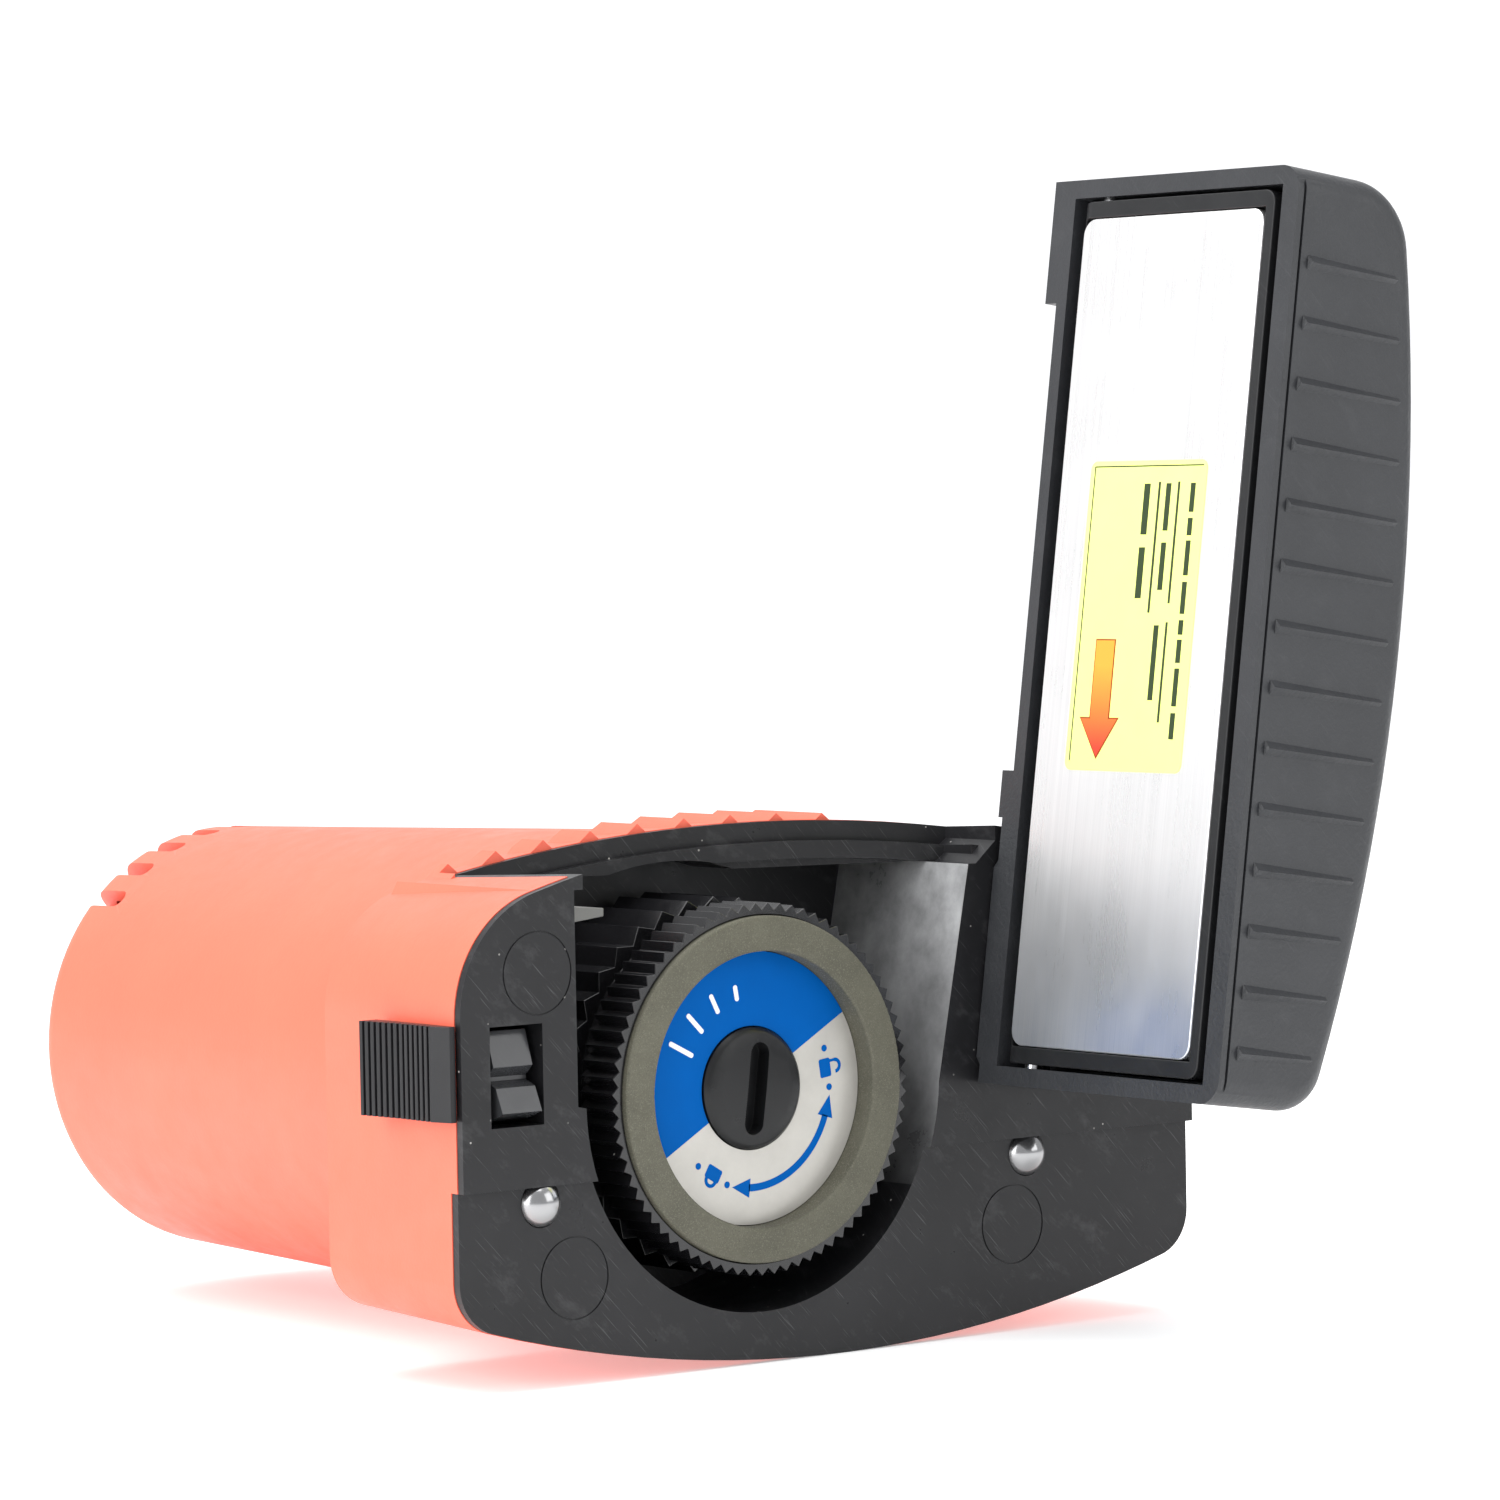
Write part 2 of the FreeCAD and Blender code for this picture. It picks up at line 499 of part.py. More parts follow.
def build_face_liner():
    """Black face plate, drum cavity, finger opening collar and screw bosses."""
    lower = block(-200, 200, -5, 50, -200, LEDGE_Z)
    upper = block(-200, 200, -5, 50, LEDGE_Z, 200)
    inset = SHELL_WALL + SEAT
    plate = head_solid(-PAD_STEP, FLANGE, inset).cut(block(-200, 200, -5, 0, -200, LEDGE_Z))
    plate = plate.fuse(head_solid(0.0, FACE_EDGE - SEAT, SEAT).common(lower))
    plate = plate.fuse(head_solid(-PAD_STEP, -SEAT, SEAT).common(upper))
    back = HEAD_DEPTH - BACK_WALL - SEAT
    inner = cavity(CAVITY_WALL, 0.0, CAVITY_DEPTH + 1.5)
    for x, z in BOSS_PLACES:
        inner = inner.fuse(rod(BOSS_RADIUS, 1.0, back, x, z))
    inner = inner.fuse(rod(PIN_DIA / 2 + 4, 1.0, back, HINGE_X, HINGE_Z))
    liner = plate.fuse(inner.common(head_solid(0.0, back, inset)))
    liner = liner.cut(notch(SEAT, CAVITY_ROOF_Z, 60.0))
    collar = notch(SEAT, CAVITY_ROOF_Z - 1, 60.0).cut(notch(SEAT + COLLAR_WALL, 15.0, 65.0))
    liner = liner.fuse(collar.common(head_solid(-PAD_STEP, HEAD_DEPTH, SEAT)))
    lip = notch(SEAT, CAVITY_ROOF_Z - 2, 60.0).cut(notch(SEAT + LIP_REACH, 15.0, 65.0))
    lip = lip.common(head_solid(1.0, HEAD_DEPTH, LIP_DROP))
    liner = liner.fuse(lip.cut(head_solid(-5.0, HEAD_DEPTH + 5, LIP_DROP + LIP_HEIGHT)))
    wedge = prism([(CAVITY_RIGHT_TOP, CAVITY_ROOF_Z - 1), (NOTCH_RIGHT_X, CAVITY_ROOF_Z - 1),
                   (NOTCH_RIGHT_X, roof_z(NOTCH_RIGHT_X) - 0.6)], "y", -PAD_STEP,
                  NOTCH_RIGHT_DEPTH + PAD_STEP)
    liner = liner.fuse(wedge)
    liner = liner.cut(cavity(0.0, -5, CAVITY_DEPTH))
    liner = liner.cut(rod(MOUNT_SPIGOT_R + SEAT, CAVITY_DEPTH - 1, HEAD_DEPTH))
    for x, z in MOUNT_SCREW_PLACES:
        liner = liner.cut(rod(2 * SMALL_SCREW_R + SEAT, CAVITY_DEPTH - 1, HEAD_DEPTH, x, z))
    window = block(WINDOW_X - WINDOW_WIDTH / 2, WINDOW_X + WINDOW_WIDTH / 2, -5, 40,
                   WINDOW_Z - WINDOW_HEIGHT / 2, WINDOW_Z + WINDOW_HEIGHT / 2)
    liner = liner.cut(window)
    neck_way = block(-HEAD_LEFT - 5, WINDOW_X, SLIDER_NECK_Y0 - GAP, 40,
                     WINDOW_Z - SLIDER_NECK_HALF - GAP, WINDOW_Z + SLIDER_NECK_HALF + GAP)
    liner = liner.cut(neck_way)
    for x in (BALL_LEFT_X, BALL_RIGHT_X):
        seat = Part.makeSphere(BALL_DIA / 2 + FIT, Vector(x, BALL_Y, BALL_Z))
        liner = liner.cut(seat)
    for x, z in BOSS_PLACES:
        liner = liner.cut(rod(SCREW_THREAD_R, HEAD_DEPTH - 18, HEAD_DEPTH + 5, x, z))
    for x, z in BOSS_PLACES[:3]:
        front = -PAD_STEP if z > LEDGE_Z else 0.0
        liner = liner.cut(tube(WITNESS_R, WITNESS_R - 0.2, front - 1, front + 0.15, x, z))
    liner = liner.cut(rod(PIN_DIA / 2, -5, 60, HINGE_X, HINGE_Z))
    add("face_liner", liner.removeSplitter())


def build_small_face_parts():
    """Riding balls, head screws, hinge pin and swarf guard."""
    for x in (BALL_LEFT_X, BALL_RIGHT_X):
        add("riding_balls", Part.makeSphere(BALL_DIA / 2, Vector(x, BALL_Y, BALL_Z)))
    for x, z in BOSS_PLACES:
        stem = rod(SCREW_THREAD_R, HEAD_DEPTH - 16, HEAD_DEPTH, x, z)
        head = rod(SCREW_DIA - SEAT, HEAD_DEPTH - 0.8, HEAD_DEPTH + 0.9, x, z)
        add("head_screws", stem.fuse(head).cut(
            block(x - 2, x + 2, HEAD_DEPTH + 0.3, HEAD_DEPTH + 2, z - 0.4, z + 0.4)))
    pin = rod(PIN_DIA / 2, -HINGE_PIN_REACH, HEAD_DEPTH - BACK_WALL - SEAT, HINGE_X, HINGE_Z)
    add("hinge_pin", pin)
    root_x = -CAVITY_LEFT - 1.5
    tip_x = -CAVITY_LEFT + 7.6
    guard = prism([(root_x, CAVITY_ROOF_Z - 2.0), (tip_x, CAVITY_ROOF_Z - 2.7),
                   (tip_x, CAVITY_ROOF_Z - 3.7), (root_x, CAVITY_ROOF_Z - 4.7)], "y", 3.2, 8.0)
    pieces["face_liner"][0] = pieces["face_liner"][0].cut(guard)
    add("swarf_guard", guard)


def build_barrel():
    """Orange motor barrel with vents, cap posts and switch opening."""
    waist = BARREL_END - BARREL_WAIST_BACK
    arc = [(BARREL_REAR_R - BARREL_RIM + BARREL_RIM * math.cos(math.radians(a)),
            BARREL_END - BARREL_RIM + BARREL_RIM * math.sin(math.radians(a)))
           for a in range(0, 91, 10)]
    outside = [(BARREL_FRONT_R, MOUNT_Y), (BARREL_WAIST_R, waist)] + arc
    inside = [(BARREL_MOUTH_R, BARREL_END), (BARREL_MOUTH_R, BARREL_END - 2.5),
              (BARREL_REAR_R - BARREL_WALL - 1.5, BARREL_END - 2.5),
              (BARREL_REAR_R - BARREL_WALL, BARREL_END - BARREL_RIM),
              (BARREL_WAIST_R - BARREL_WALL, waist), (BARREL_FRONT_R - BARREL_WALL, MOUNT_Y)]
    barrel = spun(outside + inside)
    for x, z in CAP_POST_PLACES:
        radius = math.hypot(x, z)
        angle = math.atan2(z, x)
        post = rod(3.0, BARREL_END - 18, BARREL_END - 4.2, x, z)
        web = block(radius, BARREL_REAR_R - 1.0, BARREL_END - 18, BARREL_END - 4.2, -1, 1)
        web.rotate(Vector(0, 0, 0), Y_AXIS, -math.degrees(angle))
        barrel = barrel.fuse(post.fuse(web)).cut(rod(SMALL_SCREW_R, 0, BARREL_END, x, z))
    for k in range(VENTS):
        angle = 90 + VENT_PITCH_DEG * (k - (VENTS - 1) / 2)
        floor_r = BARREL_MOUTH_R + 2.2
        slot = block(floor_r, BARREL_REAR_R + 3, BARREL_END - VENT_LENGTH, BARREL_END + 1,
                     -VENT_WIDTH / 2, VENT_WIDTH / 2)
        slot = slot.fuse(bar_x(VENT_WIDTH / 2, floor_r, BARREL_REAR_R + 3,
                               BARREL_END - VENT_LENGTH, 0))
        slot.rotate(Vector(0, 0, 0), Y_AXIS, -angle)
        barrel = barrel.cut(slot)
    hole = block(10, 40, SWITCH_Y - SWITCH_LENGTH / 2 - SEAT, SWITCH_Y + SWITCH_LENGTH / 2 + SEAT,
                 -SWITCH_HEIGHT / 2 - SEAT, SWITCH_HEIGHT / 2 + SEAT)
    add("motor_barrel", barrel.cut(hole).removeSplitter())


def build_rear_end():
    """End cap, its screws and the cord gland."""
    y0 = BARREL_END - 4.0
    cap = rod(BARREL_MOUTH_R - SEAT, y0, BARREL_END - 0.6)
    cap = cap.fuse(rod(GLAND_DIA / 2 + 2.5, BARREL_END - 1, BARREL_END + 1.0))
    for x, z in CAP_POST_PLACES:
        cap = cap.cut(rod(SMALL_SCREW_R + 0.2 + FIT, 0, 200, x, z))
        cap = cap.cut(rod(2.8 + FIT, BARREL_END - 2.0, 200, x, z))
        screw = rod(SMALL_SCREW_R, BARREL_END - 15, BARREL_END - 1.9, x, z)
        screw = screw.fuse(rod(2.8, BARREL_END - 2.0 + 0.02, BARREL_END - 0.5, x, z))
        slot = block(x - 2, x + 2, BARREL_END - 1.0, BARREL_END, z - 0.4, z + 0.4)
        add("cap_screws", screw.cut(slot))
        for side in (-1, 1):
            cap = cap.cut(rod(1.2, 0, 200, x * 0.92 + side * z * 0.42, z * 0.92 - side * x * 0.42))
    cap = cap.cut(rod(GLAND_DIA / 2 + SEAT, 0, 200))
    add("rear_cap", cap)
    gland = spun([(GLAND_BORE / 2, y0 - 2.5), (GLAND_DIA / 2 + 1.8, y0 - 2.5),
                  (GLAND_DIA / 2 + 1.8, y0 - SEAT), (GLAND_DIA / 2, y0 - SEAT),
                  (GLAND_DIA / 2, BARREL_END + 1.0), (GLAND_DIA / 2 - 1.2, BARREL_END + GLAND_LENGTH),
                  (GLAND_BORE / 2, BARREL_END + GLAND_LENGTH)])
    for k in range(4):
        y = BARREL_END + 3.0 + 2.2 * k
        gland = gland.cut(tube(GLAND_DIA, GLAND_DIA / 2 - 1.5, y, y + 0.9))
    add("cord_gland", gland)


def build_switch():
    """Rocker switch let into the side of the barrel."""
    half = SWITCH_LENGTH / 2
    rise = SWITCH_HEIGHT / 2
    surface = BARREL_REAR_R + 0.4
    face = surface + 1.0
    pivot_x = surface - 1.0
    body = block(surface - 12, face, SWITCH_Y - half, SWITCH_Y + half, -rise, rise)
    bezel = block(surface - 0.5, face, SWITCH_Y - half - SWITCH_WALL, SWITCH_Y + half + SWITCH_WALL,
                  -rise - SWITCH_WALL, rise + SWITCH_WALL)
    body = body.fuse(bezel.cut(rod(BARREL_WAIST_R + 0.4, BARREL_END - 40, BARREL_END + 10)))
    well = block(surface - 5.0, face + 1, SWITCH_Y - half + SWITCH_WALL,
                 SWITCH_Y + half - SWITCH_WALL, -rise + SWITCH_WALL, rise - SWITCH_WALL)
    body = body.cut(well)
    body = body.cut(bar_z(SWITCH_PIVOT_R + FIT, -rise + 0.4 - SEAT, rise - 0.4 + SEAT,
                          pivot_x, SWITCH_Y))
    add("switch_body", body)
    reach = half - SWITCH_WALL - GAP
    rocker = prism([(pivot_x - 1.2, SWITCH_Y - 3.0), (pivot_x + 1.2, SWITCH_Y - reach + 0.35),
                    (pivot_x + 2.2, SWITCH_Y - reach + 0.5), (pivot_x + 1.5, SWITCH_Y),
                    (pivot_x + 2.2, SWITCH_Y + reach - 0.5), (pivot_x + 1.2, SWITCH_Y + reach - 0.35),
                    (pivot_x - 1.2, SWITCH_Y + 3.0)], "z",
                   -rise + SWITCH_WALL + GAP, SWITCH_HEIGHT - 2 * SWITCH_WALL - 2 * GAP)
    rocker = rocker.fuse(bar_z(SWITCH_PIVOT_R, -rise + 0.4, rise - 0.4, pivot_x, SWITCH_Y))
    rocker.rotate(Vector(pivot_x, SWITCH_Y, 0), Z_AXIS, -ROCKER_TILT)
    add("switch_rocker", rocker)


# ---------------------------------------------------------------- motor and drum
def build_motor():
    """Bulkhead, bearings, can, magnets, brushes and tie bolts."""
    spigot_y = HEAD_DEPTH - BACK_WALL
    plate_end = MOUNT_Y + MOUNT_THICK
    mount = rod(BARREL_FRONT_R - BARREL_WALL - 1.2, MOUNT_Y + 0.2, plate_end)
    mount = mount.fuse(rod(MOUNT_SPIGOT_R, spigot_y, MOUNT_Y + 1))
    mount = mount.fuse(rod(CAN_BORE_R - SEAT, MOUNT_Y + 1, MOTOR_START + 2))
    mount = mount.cut(rod(BEARING_OD / 2, MOUNT_Y, MOTOR_START + 20))
    mount = mount.cut(rod(SHAFT_DIA / 2 + 1.5, 0, MOTOR_END))
    for x, z in MOUNT_SCREW_PLACES:
        mount = mount.cut(rod(SMALL_SCREW_R, spigot_y - 2, MOUNT_Y + 8, x, z))
        screw = rod(SMALL_SCREW_R, spigot_y, MOUNT_Y + 3.8, x, z)
        add("mount_screws", screw.fuse(rod(2 * SMALL_SCREW_R, spigot_y - 1.4, spigot_y, x, z)))
    for x, z in TIE_PLACES:
        mount = mount.cut(rod(SMALL_SCREW_R, MOUNT_Y - 4, MOUNT_Y + 20, x, z))
    add("motor_mount", mount)
    bearing = tube(BEARING_OD / 2, SHAFT_DIA / 2 + FIT, MOUNT_Y, MOUNT_Y + BEARING_WIDTH)
    groove = tube(BEARING_OD / 2 - 2.2, SHAFT_DIA / 2 + 1.8, MOUNT_Y - 1, MOUNT_Y + 0.5)
    add("front_bearing", bearing.cut(groove))

    add("motor_can", tube(MOTOR_DIA / 2, CAN_BORE_R, plate_end + SEAT, MOTOR_END))
    ring = tube(CAN_BORE_R, CAN_BORE_R - MAGNET_THICK, MOTOR_START + 8, MOTOR_END - 12)
    for z0, z1 in ((4.0, MOTOR_DIA), (-MOTOR_DIA, -4.0)):
        add("motor_magnets", ring.common(block(-MOTOR_DIA, MOTOR_DIA, 0, MOTOR_END, z0, z1)))
    bell_y = MOTOR_END + SEAT
    bell_end = MOTOR_END + 3.0
    bell = rod(MOTOR_DIA / 2, bell_y, bell_end)
    bell = bell.fuse(rod(REAR_BEARING_OD / 2 + 1.8, MOTOR_END + 1, MOTOR_END + 8.2))
    for x, z in TIE_PLACES:
        ear = rod(2 * SMALL_SCREW_R, bell_y, bell_end, x, z)
        bell = bell.fuse(ear.fuse(block(min(0, x), max(0, x), bell_y, bell_end,
                                        -2 * SMALL_SCREW_R, 2 * SMALL_SCREW_R)))
    rear_y = MOTOR_END + 1.0
    bell = bell.cut(rod(REAR_BEARING_OD / 2, rear_y, rear_y + REAR_BEARING_WIDTH))
    bell = bell.cut(rod(SHAFT_DIA / 2 + 1.5, 0, BARREL_END))
    for x, z in TIE_PLACES:
        bell = bell.cut(rod(SMALL_SCREW_R + 0.2, 0, BARREL_END, x, z))
        bolt = rod(SMALL_SCREW_R, MOUNT_Y + 0.4, bell_end, x, z)
        add("motor_tie_bolts", bolt.fuse(rod(2.4, bell_end, bell_end + 2.0, x, z)))
    add("motor_end_bell", bell)
    add("rear_bearing", tube(REAR_BEARING_OD / 2, SHAFT_DIA / 2 + FIT, rear_y,
                             rear_y + REAR_BEARING_WIDTH))
    for side in (-1, 1):
        ends = sorted((side * (COMMUTATOR_R + GAP), side * (CAN_BORE_R - 0.4)))
        add("brush_holders", block(ends[0], ends[1], MOTOR_END - 9.5, MOTOR_END, -2.5, 2.5))


def build_rotor():
    """Shaft, laminations, commutator and fan."""
    shaft_r = SHAFT_DIA / 2
    slot_floor = shaft_r + 5.5
    add("spindle_shaft", rod(shaft_r, SHAFT_START, SHAFT_END))
    rotor = tube(ROTOR_R, shaft_r, MOTOR_START + 10, MOTOR_END - 14)
    for k in range(ROTOR_SLOTS):
        slot = block(slot_floor, 2 * ROTOR_R, 0, MOTOR_END, -0.9, 0.9)
        slot = slot.fuse(block(slot_floor, ROTOR_R - 1.6, 0, MOTOR_END, -2.6, 2.6))
        slot.rotate(Vector(0, 0, 0), Y_AXIS, 360.0 * k / ROTOR_SLOTS)
        rotor = rotor.cut(slot)
    add("motor_rotor", rotor)
    add("commutator", tube(COMMUTATOR_R, shaft_r, MOTOR_END - 13, MOTOR_END - 2))
    fan_y = MOTOR_START + 2.6
    fan_r = CAN_BORE_R - 3.5
    fan = tube(fan_r, shaft_r, fan_y, fan_y + 1.2)
    for k in range(FAN_BLADES):
        blade = block(shaft_r + 2.0, fan_r - 0.4, fan_y + 1.0, fan_y + FAN_DEPTH, -0.5, 0.5)
        blade.rotate(Vector(0, 0, 0), Y_AXIS, 360.0 * k / FAN_BLADES)
        fan = fan.fuse(blade)
    add("cooling_fan", fan.fuse(tube(shaft_r + 2.5, shaft_r, fan_y, fan_y + FAN_DEPTH)))


def build_drum():
    """Drum, grinding ring, its carrier and the printed label."""
    knurl = toothed(DRUM_DIA / 2, KNURL_DEPTH, KNURL_TEETH, DRUM_FRONT, DRUM_FRONT + KNURL_LENGTH)
    flutes = toothed(FLUTE_DIA / 2, FLUTE_DEPTH, FLUTE_TEETH, FLUTE_START, DRUM_END)
    drum = knurl.fuse(rod(DRUM_NECK_R, DRUM_FRONT + 1, FLUTE_START + 1)).fuse(flutes)
    drum = drum.cut(rod(RING_DIA / 2 + SEAT, DRUM_FRONT - 1, CARRIER_BACK))
    drum = drum.cut(rod(LUG_SPAN / 2 + 0.8, 0, CARRIER_BACK + LUG_THICK + 0.8))
    drum = drum.cut(rod(CAP_STEM_DIA / 2 + FIT, 0, SHAFT_START + 0.2))
    drum = drum.cut(rod(SHAFT_DIA / 2, SHAFT_START, BARREL_END))
    hollow_y = CARRIER_BACK + LUG_THICK + 4.0
    drum = drum.cut(tube(DRUM_NECK_R - 1.0, SHAFT_DIA / 2 + 5.0, hollow_y, BARREL_END))
    add("grinding_drum", drum)

    ring = tube(RING_DIA / 2, RING_BORE / 2, -RING_PROUD, RING_BACK)
    edge = [e for e in ring.Edges if abs(e.CenterOfMass.y + RING_PROUD) < 0.01
            and e.BoundBox.XLength > 1]
    add("grinding_ring", ring.makeFillet(0.35, edge))
    label_back = LABEL_Y + LABEL_THICK
    carrier = rod(RING_DIA / 2, RING_BACK, CARRIER_BACK)
    carrier = carrier.fuse(rod(RING_BORE / 2 - SEAT, label_back, RING_BACK + 0.2))
    carrier = carrier.cut(rod(CAP_DIA / 2 + FIT + SEAT, 0, CAP_SEAT_Y))
    carrier = carrier.cut(rod(CAP_STEM_DIA / 2 + FIT + SEAT, 0, SHAFT_START))
    carrier = carrier.cut(lug_shape(GAP).rotated(Vector(0, 0, 0), Y_AXIS, CAP_OPEN_TURN))
    add("ring_carrier", carrier)
    add("ring_label", tube(RING_BORE / 2 - SEAT, CAP_DIA / 2 + FIT + SEAT, LABEL_Y, label_back))


def lug_shape(grow):
    """Cross bar of the lock cap, made larger all round by grow."""
    return block(-LUG_SPAN / 2 - grow, LUG_SPAN / 2 + grow, LABEL_Y, SHAFT_START + LUG_SPAN,
                 -LUG_WIDTH / 2 - grow, LUG_WIDTH / 2 + grow)


def build_lock_cap():
    """Slotted cap whose cross bar holds the ring carrier on the drum."""
    front = LABEL_Y - CAP_PROUD
    radius = CAP_DIA / 2
    dome = spun([(0, front), (radius - 2.2, front + 0.12), (radius - 0.7, front + 0.45),
                 (radius, front + 1.1), (radius, CAP_SEAT_Y - FIT), (0, CAP_SEAT_Y - FIT)])
    stem = rod(CAP_STEM_DIA / 2, CAP_SEAT_Y - 1, SHAFT_START - 0.4)
    lug_y = CARRIER_BACK + FIT
    bar = lug_shape(0.0).common(rod(LUG_SPAN / 2, lug_y, lug_y + LUG_THICK))
    slot_r = CAP_SLOT / 2
    reach = CAP_SLOT_LENGTH / 2 - slot_r
    slot = block(-slot_r, slot_r, front - 1, front + 2.2, -reach, reach)
    for z in (-reach, reach):
        slot = slot.fuse(rod(slot_r, front - 1, front + 2.2, 0, z))
    slot.rotate(Vector(0, 0, 0), Y_AXIS, CAP_SLOT_TILT)
    add("lock_cap", dome.fuse(stem).fuse(bar).cut(slot))


# ---------------------------------------------------------------- latch
def build_latch():
    """Sliding catch, its ribbed finger pad and the return spring."""
    x0 = WINDOW_X - BOLT_WIDTH / 2
    z0 = WINDOW_Z - BOLT_HEIGHT / 2
    z1 = WINDOW_Z + BOLT_HEIGHT / 2
    mid = WINDOW_Z - 0.4
    nose = [(0.9, z1), (-0.5, mid + 1.5), (0.9, mid + 0.3), (0.9, mid - 0.2),
            (-0.9, mid - 0.9), (-LATCH_REACH, z0 + 1.1), (0.4, z0),
            (BOLT_BACK, z0), (BOLT_BACK, z1)]
    bolt = prism(nose, "x", x0, BOLT_WIDTH)
    neck = block(-HEAD_LEFT - 0.6, x0 + 0.5, SLIDER_NECK_Y0, SLIDER_NECK_Y1,
                 WINDOW_Z - SLIDER_NECK_HALF, WINDOW_Z + SLIDER_NECK_HALF)
    bolt = bolt.fuse(neck).cut(rod(SPRING_DIA / 2 + 0.3, BOLT_BACK - 1.5, BOLT_BACK + 1,
                                   WINDOW_X, WINDOW_Z))
    add("latch_bolt", bolt)
    wall = -HEAD_LEFT - 0.25
    y0 = -0.6
    y1 = y0 + SLIDER_LENGTH
    thin = SLIDER_PROUD - 0.9
    half = SLIDER_HEIGHT / 2
    plan = [(wall, y0), (wall - 0.8, y0), (wall - thin, y0 + 2.8),
            (wall - thin, y0 + SLIDER_LENGTH * 0.55), (wall - SLIDER_PROUD, y1), (wall, y1)]
    pad = prism(plan, "z", WINDOW_Z + 0.7 - half, SLIDER_HEIGHT)
    for k in range(SLIDER_RIBS):
        y = y1 - 0.75 - SLIDER_RIB_PITCH * k
        groove = block(wall - SLIDER_PROUD - 1, wall - 0.75, y - 0.2, y + 0.2, -30, 30)
        depth = prism([(wall - thin + 0.6, y0 - 1), (wall - thin + 0.6, y0 + SLIDER_LENGTH * 0.55),
                       (wall - SLIDER_PROUD + 0.6, y1 + 1), (wall - 9, y1 + 1), (wall - 9, y0 - 1)],
                      "z", -30, 60)
        pad = pad.cut(groove.common(depth))
    pad = pad.cut(block(wall - 0.4, wall + 5, SLIDER_NECK_Y0 - SEAT, SLIDER_NECK_Y1 + SEAT,
                        WINDOW_Z - SLIDER_NECK_HALF - SEAT, WINDOW_Z + SLIDER_NECK_HALF + SEAT))
    add("latch_slider", pad)
    y_start = BOLT_BACK - 1.4
    y_stop = HEAD_DEPTH - BACK_WALL - 0.4
    helix = Part.makeHelix((y_stop - y_start) / SPRING_TURNS, y_stop - y_start, SPRING_DIA / 2 - 0.3)
    circle = Part.makeCircle(SPRING_WIRE / 2, Vector(SPRING_DIA / 2 - 0.3, 0, 0), Y_AXIS)
    coil = Part.Wire(helix).makePipeShell([Part.Wire(circle)], True, True)
    coil.rotate(Vector(0, 0, 0), X_AXIS, -90)
    coil.translate(Vector(WINDOW_X, y_start + 0.2, WINDOW_Z))
    add("latch_spring", coil)


# ---------------------------------------------------------------- guide arm, drawn shut
def guide_back_z(x, inset=0.0):
    """Height of the arm's curved back above x, arm shut."""
    half = GUIDE_LENGTH / 2
    ends = (GUIDE_FREE_THICK + GUIDE_TAIL_THICK) / 2
    along = (x - (TAIL_X - half)) / half
    bow = (GUIDE_MID_THICK - ends) * (1 - along ** 2)
    return PLATE_Z + ends + (GUIDE_TAIL_THICK - GUIDE_FREE_THICK) / 2 * along + bow - inset


def guide_section(inset, y0, y1):
    """Side profile of the arm in its shut position, made smaller by inset."""
    x_tail = TAIL_X - inset
    x_free = FREE_X + inset
    spots = [Vector(x, y0, guide_back_z(x, inset)) for x in (x_free, (x_free + x_tail) / 2, x_tail)]
    back = Part.Arc(*spots).toShape()
    corners = [spots[2], Vector(x_tail, y0, PLATE_Z), Vector(x_free, y0, PLATE_Z), spots[0]]
    rest = [Part.LineSegment(corners[k], corners[k + 1]).toShape() for k in range(3)]
    solid = Part.Face(Part.Wire([back] + rest)).extrude(Y_AXIS * (y1 - y0))
    for spot, radius in ((spots[0], GUIDE_FREE_ROUND), (spots[2], GUIDE_TAIL_ROUND)):
        edge = edges_along_y(solid, lambda c: abs(c.x - spot.x) < 0.5 and c.z > PLATE_Z + 5)
        solid = solid.makeFillet(max(radius - inset, 1.0), edge)
    return solid


def guide_rib(x, y_front):
    """Pointed rib across the side of the arm, thinning towards its back."""
    wires = []
    for z, share in ((PLATE_Z + GUIDE_RIB_START, 1.0), (guide_back_z(x) - GUIDE_RIB_SHORT, 0.5)):
        half = GUIDE_RIB_WIDTH / 2 * share
        proud = GUIDE_RIB_PROUD * share
        corners = [Vector(x - half, y_front + 0.4, z), Vector(x - half, y_front, z),
                   Vector(x, y_front - proud, z), Vector(x + half, y_front, z),
                   Vector(x + half, y_front + 0.4, z)]
        wires.append(Part.makePolygon(corners + corners[:1]))
    return Part.makeLoft(wires, True, True)


